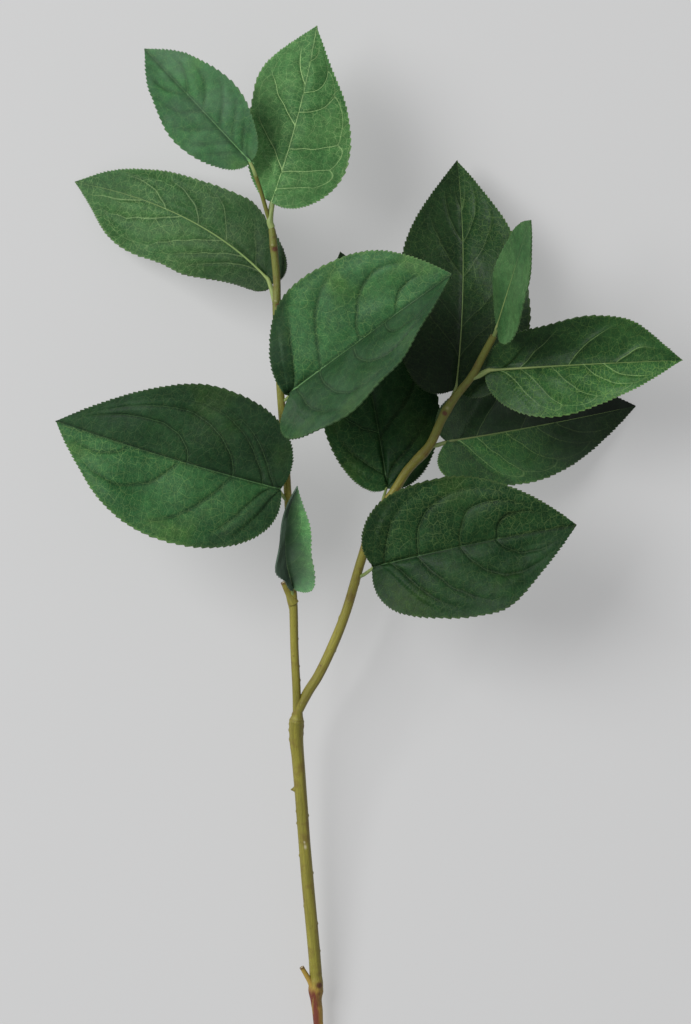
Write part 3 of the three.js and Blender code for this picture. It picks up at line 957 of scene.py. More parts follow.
@dataclass
class Leaf:
    """One leaf: a blade with veins in relief and a petiole that runs on as its midrib."""

    name: str
    shape: LeafShape
    stem: Stem
    root: float
    face: Face
    colour: Print
    seed: int
    veins: tuple[VeinSide, VeinSide]
    # Light, shade and sheen painted into the blade's colour, and the net's strength.
    painted_shading: PaintedShading
    rib: float = 1.0
    veined: float = 1.0
    lift: float = 0.0
    straight: bool = False
    dents: tuple[tuple[int, float, float, float], ...] = ()
    quilt: float = 0.95
    groove: float = 0.3
    gutter: float = 0.7
    unevenness: float = 0.8
    rib_reach: float = 0.93
    petiole_radius: float = 0.8
    length: float = field(init=False)
    turn: Array = field(init=False)
    half: float = field(init=False)

    def __post_init__(self) -> None:
        """Work out the length, turn and half width."""
        self.length, self.turn = self.shape.placement()
        self.half = self.shape.width / 2 / self.length

    def flat(self, share: Array, across: Array) -> tuple[Array, Array]:
        """Find flat places of the blade.

        Args:
            share: Travel along the margin, from 0 at the base to 1 at the tip.
            across: Share of the way from the midrib to the margin, negative on the right.

        Returns:
            Places along and across, as shares of the length.
        """
        left, right = self.shape.outline(1), self.shape.outline(-1)
        edge_x, edge_y = (np.where(across >= 0, np.interp(share, left[0], left[axis]),
                                   np.interp(share, right[0], right[axis])) for axis in (1, 2))
        middle = share ** MIDRIB_CROWDING
        along = middle + (edge_x - middle) * np.abs(across)
        aside = across * edge_y * self.half * (1 - np.sign(across) * self.shape.lean)
        for side, place, width, depth in self.dents:
            pushed = depth / self.length * bump(edge_x - place, width) * np.abs(across) ** 2
            aside = aside - side * pushed * (np.sign(across) == side)
        return along, aside

    def place(self, along: Array, across: Array) -> Array:
        """Return the places in the drawing, in mm, of flat places of the blade."""
        bent = self.shape.bend(along, across, self.half) @ self.turn.T
        return bent * self.length + np.array(self.shape.base)

    def marks(self, along: Array, across: Array, edge: Array) -> LeafMarks:
        """Work out the veins over the blade's grid.

        Args:
            along: Places along, as shares of the length.
            across: Places across, as shares of the length.
            edge: Share of the way from the midrib to the margin.

        Returns:
            The marks at each place, with the veins of both halves.
        """
        x, y = along * self.length, across * self.length
        shake = 0.05 * Ripple(self.seed + 5, 9.0).height(x, y) * smooth_step(0.05, 0.3, edge)
        x_row, x_column = np.gradient(x)
        y_row, y_column = np.gradient(y)
        area = np.abs(x_row * y_column - x_column * y_row)
        numbers, pitches, drawn, looped = [], [], [], []
        for side in self.veins:
            number = side.number(along, edge) + shake * (0.35 + 0.5 * side.loops)
            row, column = np.gradient(number)
            steep = np.hypot(row * y_column - column * y_row, column * x_row - row * x_column)
            slope = steep / np.maximum(area, 1e-4)
            numbers.append(number)
            pitches.append(np.clip(1 / np.maximum(slope, 1e-3), 1.0, 40.0))
            drawn.append(self.veined * side.reach(number, along, 0.4))
            looped.append(side.loops * side.reach(number, along, 0.0))
        veins = (np.stack(values) for values in (numbers, pitches, drawn, looped))
        return LeafMarks(along, edge, np.sign(across), x, y, *veins)

    def relief(self, marks: LeafMarks) -> Array:
        """Raise the blade between its veins.

        Args:
            marks: The marks at each place.

        Returns:
            Heights in mm along the normals of the grid, which look up.
        """
        inside = marks.number - np.floor(marks.number)
        near = np.minimum(inside, 1 - inside) * marks.pitch
        held = smooth_step(0.02, 0.22, marks.edge) * (1 - smooth_step(0.72, 1.0, marks.edge)) * marks.drawn
        wide = np.clip(marks.pitch / 9, 0.2, 1.2)
        raised = (marks.number < len(self.veins[0].starts)) | (marks.side < 0)
        raised &= (marks.number < len(self.veins[1].starts)) | (marks.side > 0)
        height = self.quilt * np.sin(math.pi * inside) ** 0.7 * held * wide * raised
        height -= self.groove * bump(near, 0.6) * (1 - smooth_step(0.55, 0.95, marks.edge)) * marks.drawn
        height -= self.gutter * bump(marks.y, 1.1) * np.clip(1 - marks.along, 0, 1) ** 0.5
        broad = Ripple(self.seed + 2, 34.0, 5).height(marks.x, marks.y)
        rim = smooth_step(0.05, 0.4, marks.edge) * (1 - smooth_step(0.6, 1.0, marks.along))
        height += self.unevenness * broad * rim
        lobe = np.clip(1 - marks.number, 0, 1) * smooth_step(0.0, 0.5, marks.edge)
        height += self.lift * lobe * (marks.y > 0)
        return height * (1 if self.face is Face.UPPER else -1)

    def blade(self) -> Piece:
        """Build the blade: a grid bent to shape, embossed, given its thickness and smoothed.

        Returns:
            The closed blade, with its marks stored.
        """
        teeth = max(round(MARGIN_PER_LENGTH * self.length / TOOTH_PITCH), LEAST_TEETH)
        rows = teeth * len(TOOTH_PROFILE)
        columns = 2 * int(np.clip(self.shape.width / 2 / COLUMN_WIDTH, *COLUMN_LIMITS))
        piece, row, column = Workshop.grid(self.name, rows, columns)
        steps = np.linspace(0, 1, rows + 1), np.linspace(-1, 1, columns + 1)
        share, signed = np.meshgrid(*steps, indexing="ij")
        edge = np.abs(signed) ** MARGIN_CROWDING
        along, aside = self.flat(share, np.sign(signed) * edge)
        marks = self.marks(along, aside, edge)
        grid = self.place(along, aside)
        normals = np.cross(np.gradient(grid, axis=0), np.gradient(grid, axis=1))
        normals[0], normals[-1] = normals[1], normals[-2]
        normals = unit(normals)[row, column]
        own = marks.pick(row, column, np.sign(signed)[row, column])
        places = grid[row, column] + normals * self.relief(own)[:, None]
        places += self._teeth(unit(np.gradient(grid, axis=0))[row, column], normals, row, column, teeth)
        places[:, 2] = np.maximum(places[:, 2], FLOOR_GAP)
        Workshop.shape(piece, places)
        self._store(piece, marks, row, column)
        Workshop.close(piece, solid=False)
        thick = piece.modifiers.new("thickness", "SOLIDIFY")
        thick.thickness = BLADE_THICKNESS * MM
        thick.offset = 0.0
        thick.material_offset = 1
        bpy.ops.object.modifier_apply(modifier=thick.name)
        Workshop.smooth(piece, BLADE_SHARP)
        return piece

    def _teeth(self, along: Array, normals: Array, row: Array, column: Array, teeth: int) -> Array:
        """Work out how far the teeth push the margin's vertices out.

        Args:
            along: The direction of the blade at each vertex.
            normals: The normal of the blade at each vertex, which looks up.
            row: The row of each vertex.
            column: The column of each vertex.
            teeth: How many teeth each margin has.

        Returns:
            The moves, in mm.
        """
        outward = np.cross(along, normals) * np.where(column == 0, 1, -1)[:, None]
        profile = np.array(TOOTH_PROFILE)[row % len(TOOTH_PROFILE)]
        draw = np.random.default_rng(self.seed).uniform(0.75, 1.15, (2, teeth + 1))
        uneven = draw[(column > 0).astype(int), row // len(TOOTH_PROFILE)]
        share = row / row.max()
        fade = np.clip(np.minimum(share, 1 - share) / TOOTHLESS_ENDS, 0, 1)
        margin = (column == 0) | (column == column.max())
        reach = (TOOTH_DEPTH * profile * uneven * fade * margin)[:, None]
        return outward * reach + along * 0.5 * reach

    def _store(self, piece: Piece, marks: LeafMarks, row: Array, column: Array) -> None:
        """Store the marks on the blade's face corners, each half with its own veins at the midrib.

        Args:
            piece: The blade, still a sheet.
            marks: The marks over the grid.
            row: The row of each vertex.
            column: The column of each vertex.
        """
        mesh = piece.data
        corner = np.empty(len(mesh.loops), dtype=int)
        mesh.loops.foreach_get("vertex_index", corner)
        middle = column[corner].reshape(-1, 4).mean(axis=1) * 2 - column.max()
        side = np.repeat(np.sign(middle), 4)
        own = marks.pick(row[corner], column[corner], side)
        light = np.where(side > 0, self.veins[0].light, self.veins[1].light)
        # Painted light, shade and sheen go on the corners for the blade's material.
        painted_sheen, rib = np.full_like(side, self.painted_shading.painted_sheen), np.full_like(side, self.rib)
        painted_shades = self.painted_shading.at(own.along, own.edge, side, own.number)
        Workshop.mark(piece, "CORNER", {
            "vein_field": (own.number, own.pitch, own.edge),
            "blade_field": (rib, own.y, own.along),
            "blade_shading_and_net": (painted_shades, painted_sheen, np.where(side > 0, *self.painted_shading.net)),
            "blade_veins": (own.looped, light, own.drawn),
        })
        flat = np.stack([own.x / 10 + 20 * self.seed, own.y / 10], axis=1)
        layer = mesh.uv_layers[0]
        layer.name = "blade_map"
        layer.data.foreach_set("uv", flat.astype(np.float32).ravel())

    def stalk(self, stem: CentreLine) -> Piece:
        """Build the petiole from inside the stem to the blade, and the midrib under the blade.

        Args:
            stem: The stem's centre line.

        Returns:
            The closed stalk.
        """
        upper = self.face is Face.UPPER
        ribs = np.linspace(0.0, self.rib_reach, RIB_STEPS) ** 1.1
        line = self.place(ribs, np.zeros_like(ribs))
        side = self.place(ribs, np.full_like(ribs, 0.01)) - self.place(ribs, np.full_like(ribs, -0.01))
        normals = unit(np.cross(np.gradient(line, axis=0), side))
        thinning = RIB_SHARE * (1 - ribs / self.rib_reach) ** RIB_TAPER
        radii = self.petiole_radius * (RIB_END + thinning + COLLAR_SHARE * bump(ribs, COLLAR_REACH))
        sunk = self.gutter * np.sqrt(1 - ribs) + BLADE_THICKNESS / 2 + (0.45 if upper else -0.1) * radii
        line = line + normals * (-1 if upper else 1) * sunk[:, None]
        line[:, 2] = np.maximum(line[:, 2], radii + 0.05)
        share = stem.travel_at(self.root) / stem.length
        start, tangent = stem.place(share), stem.tangent(share)
        reach, out = 0.0, tangent
        if not self.straight:
            out = (line[0] - start) * (1.0, 1.0, 0.35)
            out = unit(out - 0.4 * tangent * (out @ tangent))
            reach = float(stem.radius(share)) / max(float(np.linalg.norm(np.cross(out, tangent))), 0.6)
        foot = (FOOT_STRAIGHT if self.straight else FOOT_BRANCHED) * self.petiole_radius
        rows = [(*(start + out * (reach - FOOT_SUNK * self.petiole_radius)), foot),
                (*(start + out * (reach + FOOT_HEIGHT)), 1.02 * self.petiole_radius)]
        rows += [(*place, radius) for place, radius in zip(line[1:], radii[1:])]
        return Tube(CentreLine(rows), PETIOLE_SIDES, PETIOLE_STEP).build(f"{self.name}_stalk")

    def build(self, stem: CentreLine, prints: dict[Print, Material], petiole: Material) -> None:
        """Build and dress the leaf.

        Args:
            stem: The centre line that the petiole grows from.
            prints: The materials of the blades' faces.
            petiole: The material of the petiole.
        """
        blade = self.blade()
        blade.data.materials.append(prints[self.colour])
        blade.data.materials.append(prints[Print.DEEP if self.colour is Print.PALE else Print.PALE])
        stalk = self.stalk(stem)
        stalk.data.materials.append(petiole)
        Workshop.fit([blade, stalk], f"{self.name}_blade", self.name)


@dataclass(frozen=True)
class Spot:
    """A bud, scar or ring of a stem.

    Its travel is counted from a place along Y or from the stem's start. Its turn goes from the viewer to the
    right, and a ring has none. A brown below 0 makes it pale.
    """

    start: float | None
    travel: float
    turn: float | None
    size: float
    height: float = 0.0
    brown: float = 0.0
    stretch: float = 1.0


@dataclass
class Tube:
    """A round, closed tube along a centre line."""

    line: CentreLine
    sides: int
    step: float
    spots: tuple[Spot, ...] = ()
    blush: Span = BEFORE
    ochre: Span = BEFORE
    # Where the bark turns darker and greener: partly its own green, partly painted shade under the leaves.
    green: Span = BEYOND
    cut_start: bool = False
    cut_end: bool = False

    def build(self, name: str) -> Piece:
        """Build the tube.

        Args:
            name: Name of the piece.

        Returns:
            The closed piece, with its straightened place and its marks stored.
        """
        steps = max(int(self.line.length / self.step), 6)
        shares = np.concatenate([[0, 0, 0], np.linspace(0, 1, steps + 1), [1, 1, 1]])
        caps, sunk = np.ones(len(shares)), np.zeros(len(shares))
        caps[:3], caps[-3:] = CAP_RADII, CAP_RADII[::-1]
        if self.cut_start:
            sunk[:3] = CUT_DEPTHS
        if self.cut_end:
            sunk[-3:] = -np.array(CUT_DEPTHS[::-1])
        piece, row, column = Workshop.grid(name, len(shares) - 1, self.sides)
        normal, binormal, tangent = self._frames(shares)
        angle = -2 * math.pi * column / self.sides
        travel = shares[row] * self.line.length
        radius = self.line.radius(shares[row])
        height, brown = self._spots(travel, angle, radius)
        radius = (radius + height) * caps[row]
        ring = normal[row] * np.cos(angle)[:, None] + binormal[row] * np.sin(angle)[:, None]
        places = self.line.place(shares[row]) + ring * radius[:, None] + tangent[row] * sunk[row][:, None]
        Workshop.shape(piece, places)
        red = (1 - smooth_step(*self.blush, travel)) * smooth_step(-0.3, 0.7, np.cos(angle + 1.0))
        cut = (caps[row] < 0.8) * (sunk[row] != 0)
        # Painted shade: both sides of the stem, the right one more, are mixed towards brown.
        painted_flank_shade = smooth_step(0.4, 1.0, np.abs(np.sin(angle) + 0.2))
        Workshop.mark(piece, "POINT", {
            "straight": (np.cos(angle) * radius, np.sin(angle) * radius, travel),
            "marks": (brown, red, cut),
            "tints": (smooth_step(*self.green, travel), 1 - smooth_step(*self.ochre, travel), painted_flank_shade),
        })
        Workshop.close(piece, solid=True)
        Workshop.smooth(piece, TUBE_SHARP)
        return piece

    def _frames(self, shares: Array) -> tuple[Array, Array, Array]:
        """Find directions that never twist about the line.

        Args:
            shares: Shares of the line's length.

        Returns:
            Directions up from, to the right of and along the line.
        """
        tangents = np.array([self.line.tangent(share) for share in shares])
        normals = [np.array([0.0, 0.0, 1.0])]
        for tangent in tangents:
            normals.append(unit(normals[-1] - tangent * (normals[-1] @ tangent)))
        return np.array(normals[1:]), np.cross(tangents, np.array(normals[1:])), tangents

    def _spots(self, travel: Array, angle: Array, radius: Array) -> tuple[Array, Array]:
        """Work out what the buds, scars and rings do.

        Args:
            travel: Travel along the line at each place.
            angle: Turn about the line from the viewer.
            radius: Radius of the line there.

        Returns:
            How high and how brown each place is.
        """
        height, brown = np.zeros_like(travel), np.zeros_like(travel)
        for spot in self.spots:
            start = 0.0 if spot.start is None else self.line.travel_at(spot.start)
            near = bump(travel - start - spot.travel, spot.size)
            if spot.turn is not None:
                around = np.angle(np.exp(1j * (angle - math.radians(spot.turn)))) * radius
                near = near * bump(around, spot.size * spot.stretch)
            height += spot.height * near
            brown = np.where(np.abs(spot.brown * near) > np.abs(brown), spot.brown * near, brown)
        return height, brown


@dataclass(frozen=True)
class Stub:
    """The stub of a cut shoot, which widens towards its stem."""

    start: Point
    end: Point
    radius: float
    yellow: bool

    def build(self) -> Piece:
        """Build the stub.

        Returns:
            The closed piece.
        """
        foot, middle = (flare * self.radius for flare in STUB_FLARE)
        rows = [(*self.start, foot), (*np.add(self.start, self.end) / 2, middle), (*self.end, self.radius)]
        line = CentreLine(rows)
        spots = (Spot(None, line.length, None, 1.0, 0.05, 0.75),
                 Spot(None, 0.7 * line.length, None, 2.5, 0.0, 0.0 if self.yellow else 0.35))
        ochre = (0.4 * line.length, 2 * line.length) if self.yellow else BEFORE
        return Tube(line, STUB_SIDES, STUB_STEP, spots, ochre=ochre, cut_end=True).build("stub")


@dataclass
class StemPiece:
    """One stem with its buds, scars and rings, and the stub of a cut shoot."""

    node: str
    rows: list[Row]
    spots: tuple[Spot, ...]
    sides: int = 24
    # Where the bark turns darker and greener: partly its own green, partly painted shade under the leaves.
    green: Span = BEYOND
    foot: float | None = None
    stub: Stub | None = None

    def line(self) -> CentreLine:
        """Return the stem's centre line."""
        return CentreLine(self.rows)

    def build(self, bark: Material) -> None:
        """Build and dress the stem.

        Args:
            bark: The material of the bark.
        """
        tube = Tube(self.line(), self.sides, STEM_STEP, self.spots, green=self.green)
        if self.foot is not None:
            node = tube.line.travel_at(self.foot)
            tube.blush = (node + BLUSH_REACH[0], node + BLUSH_REACH[1])
            tube.ochre = (node + OCHRE_REACH[0], node + OCHRE_REACH[1])
            tube.cut_start = True
        parts = [tube.build(f"{self.node}_bark")]
        if self.stub:
            parts.append(self.stub.build())
        for part in parts:
            part.data.materials.append(bark)
        Workshop.fit(parts, f"{self.node}_bark", self.node)


@dataclass(frozen=True)
class Studio:
    """The floor, the light and the camera that looks straight down on the stem."""

    camera_height: float = 2.245
    focus_height: float = 0.045
    frame_height: float = 0.43008
    sensor: float = 36.0
    view_reach: float = 20.0
    floor_size: float = 8.0
    floor_height: float = -0.0004
    floor_grey: float = 0.36
    floor_glow: float = 0.325
    room_colour: Colour = (0.97, 0.98, 1.0)
    room_light: float = 0.28
    lamp_place: Point = (-2.1, 1.0, 2.6)
    lamp_size: float = 2.0
    lamp_power: float = 90.0

    def build(self) -> None:
        """Set up the studio."""
        scene = bpy.context.scene
        scene.view_settings.view_transform = "Standard"
        self._floor()
        self._light()
        data = bpy.data.cameras.new("camera")
        data.sensor_width = self.sensor
        data.lens = self.sensor * (self.camera_height - self.focus_height) / self.frame_height
        data.clip_end = self.view_reach
        camera = bpy.data.objects.new("camera", data)
        middle = DRAWING_SHIFT * MM
        camera.location = (middle[0], middle[1], self.camera_height)
        scene.collection.objects.link(camera)
        scene.camera = camera

    def _floor(self) -> None:
        """Lay the plain pale floor."""
        bpy.ops.object.select_all(action="DESELECT")
        bpy.ops.mesh.primitive_plane_add(size=self.floor_size, location=(0, 0, self.floor_height))
        floor = bpy.context.active_object
        floor.name = "floor"
        board = Board("pale_floor")
        grey = (self.floor_grey,) * 3
        board.dress({"Base Color": grey, "Emission Color": (1.0, 1.0, 1.0), "Roughness": 0.9,
                     "Emission Strength": self.floor_glow, "Specular IOR Level": 0.1})
        floor.data.materials.append(board.material)

    def _light(self) -> None:
        """Fill the room with even light, and hang a soft lamp that looks at the middle of the stem."""
        scene = bpy.context.scene
        scene.world = bpy.data.worlds.new("room")
        scene.world.use_nodes = True
        background = scene.world.node_tree.nodes["Background"]
        background.inputs["Color"].default_value = (*self.room_colour, 1)
        background.inputs["Strength"].default_value = self.room_light
        data = bpy.data.lights.new("key", "AREA")
        data.size = self.lamp_size
        data.energy = self.lamp_power
        lamp = bpy.data.objects.new("key", data)
        lamp.location = self.lamp_place
        towards = Vector(DRAWING_SHIFT * MM) - lamp.location
        lamp.rotation_euler = towards.to_track_quat("-Z", "Y").to_euler()
        scene.collection.objects.link(lamp)


# Each finish paints shade into the creases beside the laterals and along the midrib.
DEEP_FINISH = LeafFinish(
    "deep_green", dark=(0.016, 0.07, 0.02), light=(0.027, 0.1, 0.029), patch=(0.058, 0.14, 0.025),
    net=(0.23, 0.36, 0.11), vein=(0.19, 0.4, 0.14), patch_share=0.45, net_share=0.58, vein_share=0.45,
    vein_width=0.22, rib_share=0.55, rib_width=0.32, crease_shade=0.45, roughness=0.44, specular=0.15)
RICH_FINISH = LeafFinish(
    "rich_green", dark=(0.02, 0.085, 0.02), light=(0.034, 0.12, 0.03), patch=(0.05, 0.15, 0.03),
    net=(0.25, 0.42, 0.1), vein=(0.36, 0.56, 0.2), net_share=0.62, vein_share=0.62, vein_width=0.24,
    rib_width=0.4, crease_shade=0.12, roughness=0.4, specular=0.25)
PALE_FINISH = LeafFinish(
    "pale_green", dark=(0.036, 0.118, 0.033), light=(0.056, 0.15, 0.045), patch=(0.07, 0.17, 0.045),
    net=(0.27, 0.42, 0.16), vein=(0.4, 0.58, 0.24), net_share=0.68, vein_share=0.75, vein_width=0.27,
    rib_width=0.38, crease_shade=0.15, roughness=0.5, specular=0.16)
PETIOLE_FINISH = StalkFinish("petiole", (0.34, 0.42, 0.14), (0.2, 0.31, 0.09))
BARK_FINISH = BarkFinish(
    "bark", light=(0.35, 0.32, 0.05), deep=(0.24, 0.22, 0.035), green=(0.16, 0.19, 0.035),
    brown=(0.16, 0.08, 0.03), red=(0.2, 0.05, 0.03), ochre=(0.5, 0.33, 0.06), cut=(0.6, 0.54, 0.33),
    scar=(0.13, 0.05, 0.022))

MAIN_STEM = [
    (-4, -262, 1.6, 1.8), (-9, -240, 4, 1.8), (-11.6, -218.6, 6.8, 2.1), (-12, -212.6, 7.4, 2.3),
    (-12.5, -209, 7.8, 2.4), (-12.7, -204, 8.4, 3.2), (-12.6, -201, 8.8, 3.05),
    (-12.7, -197.6, 9.2, 2.7), (-13.1, -191, 10.2, 2.62), (-13.8, -182.7, 11.4, 2.62),
    (-16.2, -156.3, 14.8, 2.65), (-17.6, -139, 17, 2.56), (-18.8, -122, 19.8, 2.6),
    (-20.1, -105, 23, 2.7), (-20.8, -96.7, 25.5, 2.95), (-20.8, -90, 27.6, 3.1),
    (-20.6, -87.8, 28.4, 3.1), (-20.4, -86.6, 28.8, 2.4), (-20.2, -84.5, 29.5, 2.15),
    (-19.9, -81.5, 30.3, 2), (-19.6, -78.8, 30.9, 1.5),
]
LEFT_STEM = [
    (-20.5, -84.7, 29.6, 1.8), (-20.7, -75, 32, 1.77), (-21.5, -58, 35.5, 1.74), (-22.0, -38, 40, 1.82),
    (-23.2, -20, 43, 1.67), (-24.1, 5, 47, 1.62), (-25.7, 30, 50, 1.62), (-27, 47, 52, 1.62),
    (-28.7, 76, 54, 1.57), (-28.8, 87, 54.4, 1.77), (-28.7, 96, 54.7, 1.57), (-29.4, 105, 55.2, 1.57),
    (-30, 110.8, 55.5, 1.67), (-30.6, 117, 55.8, 1.52), (-31.1, 119.8, 55.9, 1.07),
    (-32.3, 123.4, 56.6, 0.87), (-35.3, 133.7, 60.3, 0.86), (-37.6, 140.6, 63.3, 0.84),
]
RIGHT_BRANCH = [
    (-19.8, -84, 30, 1.9), (-15.9, -76.1, 31.2, 2.17), (-11.6, -69.3, 32.7, 2.12),
    (-5.1, -55.7, 35.3, 2.12), (0.2, -42.1, 37.3, 2.02), (6.7, -20, 40, 1.97), (12.4, -3, 42, 1.97),
    (20.8, 9.3, 44, 1.92), (25.8, 17.2, 45.2, 1.92), (35.4, 28.1, 47, 1.87), (39.6, 37.2, 48.3, 1.82),
    (42.4, 42.8, 49.2, 2.02), (46.6, 49, 50.2, 1.72), (52.8, 56.7, 52.2, 1.62), (57.6, 65.6, 55, 1.57),
    (61.9, 73.5, 57.8, 1.47),
]


def spots(start: float | None, *rows: tuple[float | None, ...]) -> list[Spot]:
    """Return the spots that count their travel from one start."""
    return [Spot(start, *row) for row in rows]


MAIN_SPOTS = (
    *spots(-87.6, (0, None, 0.3, -0.3, 0.4), (-0.9, None, 0.5, 0.12), (0.8, None, 0.5, 0.15, -0.25),
           (-3, 85, 1.4, 0.25, 0.8), (-6.5, 80, 1.3, 0.2, 0.6), (-5, -90, 0.7, 0.4, 0.3),
           (-9, -88, 0.7, 0.35, 0.3), (2.2, -85, 0.6, 0.35, 0.3), (-2.2, -88, 0.5, 0.3, 0.3)),
    *spots(-117.5, (0, -88, 0.7, 1.8, 0.5)),
    *spots(-127, (0, -90, 0.5, 0.3, 0.6)),
    *spots(-140, (0, 0, 0.6, -0.1, -1.4, 0.7)),
    *spots(-142, (0, 5, 1.1, -0.15, -1.6, 0.45)),
    *spots(-201.5, (0, 28, 1.4, 0.2, 1.1, 1.2)),
    *spots(-205, (0, 70, 1.1, 0.2, 0.5)),
    *spots(None, (53, 10, 1.5, 0.0, 0.5, 0.4), (58, 30, 1.2, 0.0, 0.6), (76, 92, 0.5, 0.3, 0.6),
           (88, 85, 0.5, 0.3, 0.6), (96, -80, 0.6, 0.2, 0.4), (110, 90, 0.5, 0.4, 0.6),
           (118, -88, 0.5, 0.4, 0.5), (132, -85, 0.5, 0.4, 0.6), (135, 88, 0.5, 0.35, 0.6)),
)
LEFT_SPOTS = (
    *spots(110.8, (0, None, 0.7, 0.05, 0.35), (0.8, -15, 0.9, 0.45, -0.5), (-0.9, 20, 1.1, 0.1, 1.2, 1.4),
           (-6, 25, 0.6, 0.0, 0.5), (4, 10, 0.8, 0.0, 0.5, 1.5)),
    *spots(87, (0, None, 0.7, 0.05, 0.3), (1.2, -10, 0.9, 0.45, -0.5), (-0.6, 35, 1.1, 0.1, 1.2, 1.4)),
    *spots(None, (14, 92, 0.5, 0.25, 0.6), (20, 88, 0.5, 0.25, 0.6), (25, -20, 0.6, 0.1, 0.6),
           (32, 90, 0.4, 0.2, 0.6), (38, -60, 0.5, 0.1, 0.5), (46, -90, 0.7, 0.3, 0.2),
           (62, 85, 0.5, 0.2, 0.5), (80, 90, 0.5, 0.2, 0.5), (140, 60, 0.5, 0.1, 0.6),
           (152, -70, 0.5, 0.15, 0.5)),
)
RIGHT_SPOTS = (
    *spots(42.8, (0, None, 1.0, 0.1), (1, -5, 1.0, 0.5, -0.6), (-1.4, 0, 1.1, 0.1, 1.1, 1.2)),
    *spots(24, (0, None, 2.6, 0.25, 0.15)),
    *spots(25, (0, 40, 1.4, 0.2, 0.5)),
    *spots(22, (0, -70, 1.2, 0.2, 0.3)),
    *spots(57, (0, -40, 0.9, 0.2, 0.2)),
    *spots(None, (22, -30, 0.6, 0.05, 0.7), (30, 90, 0.5, 0.2, 0.4), (44, -85, 0.8, 0.25, 0.1),
           (60, 80, 0.5, 0.2, 0.5)),
)
# The green spans darken the bark towards the top: partly its own green, partly painted shade under the
# leaves.
STEMS = (
    StemPiece("main_stem", MAIN_STEM, MAIN_SPOTS, 30, foot=-204,
              stub=Stub((-13.4, -203.3, 9.2), (-18.7, -194, 12), 0.95, True)),
    StemPiece("left_stem", LEFT_STEM, LEFT_SPOTS, green=(95.0, 165.0),
              stub=Stub((-21.9, -38.5, 40.2), (-26.0, -29.4, 42.5), 1.35, False)),
    StemPiece("right_branch", RIGHT_BRANCH, RIGHT_SPOTS, green=(95.0, 150.0)),
)

ACUTE = VeinSide((0.17, 0.43, 0.66), 0.3, 0.06, loops=0.2, light=1.2)
LOOPED = VeinSide((0.07, 0.17, 0.3, 0.51, 0.62, 0.8), 0.05, 0.12, loops=0.65)
SLANTED = VeinSide((0.05, 0.17, 0.3, 0.52, 0.7), 0.36, 0.04, loops=0.4, light=0.7)
STEEP = VeinSide((0.1, 0.29, 0.44, 0.6), 0.1, 0.12, light=0.45)
SPREAD = VeinSide((0.06, 0.17, 0.335, 0.5, 0.6), 0.2, 0.1, loops=0.5)
RISING = VeinSide((0.17, 0.42, 0.66), 0.2, 0.08, light=0.8)
FEATHERED = VeinSide((0.13, 0.26, 0.48, 0.63, 0.77), 0.3, 0.04, loops=0.3, light=0.6)
ARCS = VeinSide((0.06, 0.23, 0.44, 0.62), 0.03, 0.45, 3.0, light=0.8)
WIDE_ARCS = VeinSide((0.03, 0.08, 0.213, 0.415), 0.0, 0.65, light=0.9)
SWEPT = VeinSide((0.02, 0.21, 0.45, 0.67), 0.15, 0.24, light=0.12)
FOLDED = VeinSide((0.08, 0.22, 0.434, 0.61), 0.15, 0.25, light=0.5)
SOFT = VeinSide((0.06, 0.17, 0.3, 0.45, 0.6), 0.15, 0.12, light=0.1)
HOOKED = VeinSide((0.06, 0.2, 0.41, 0.6), 0.0, 0.5, 2.4, light=0.7)


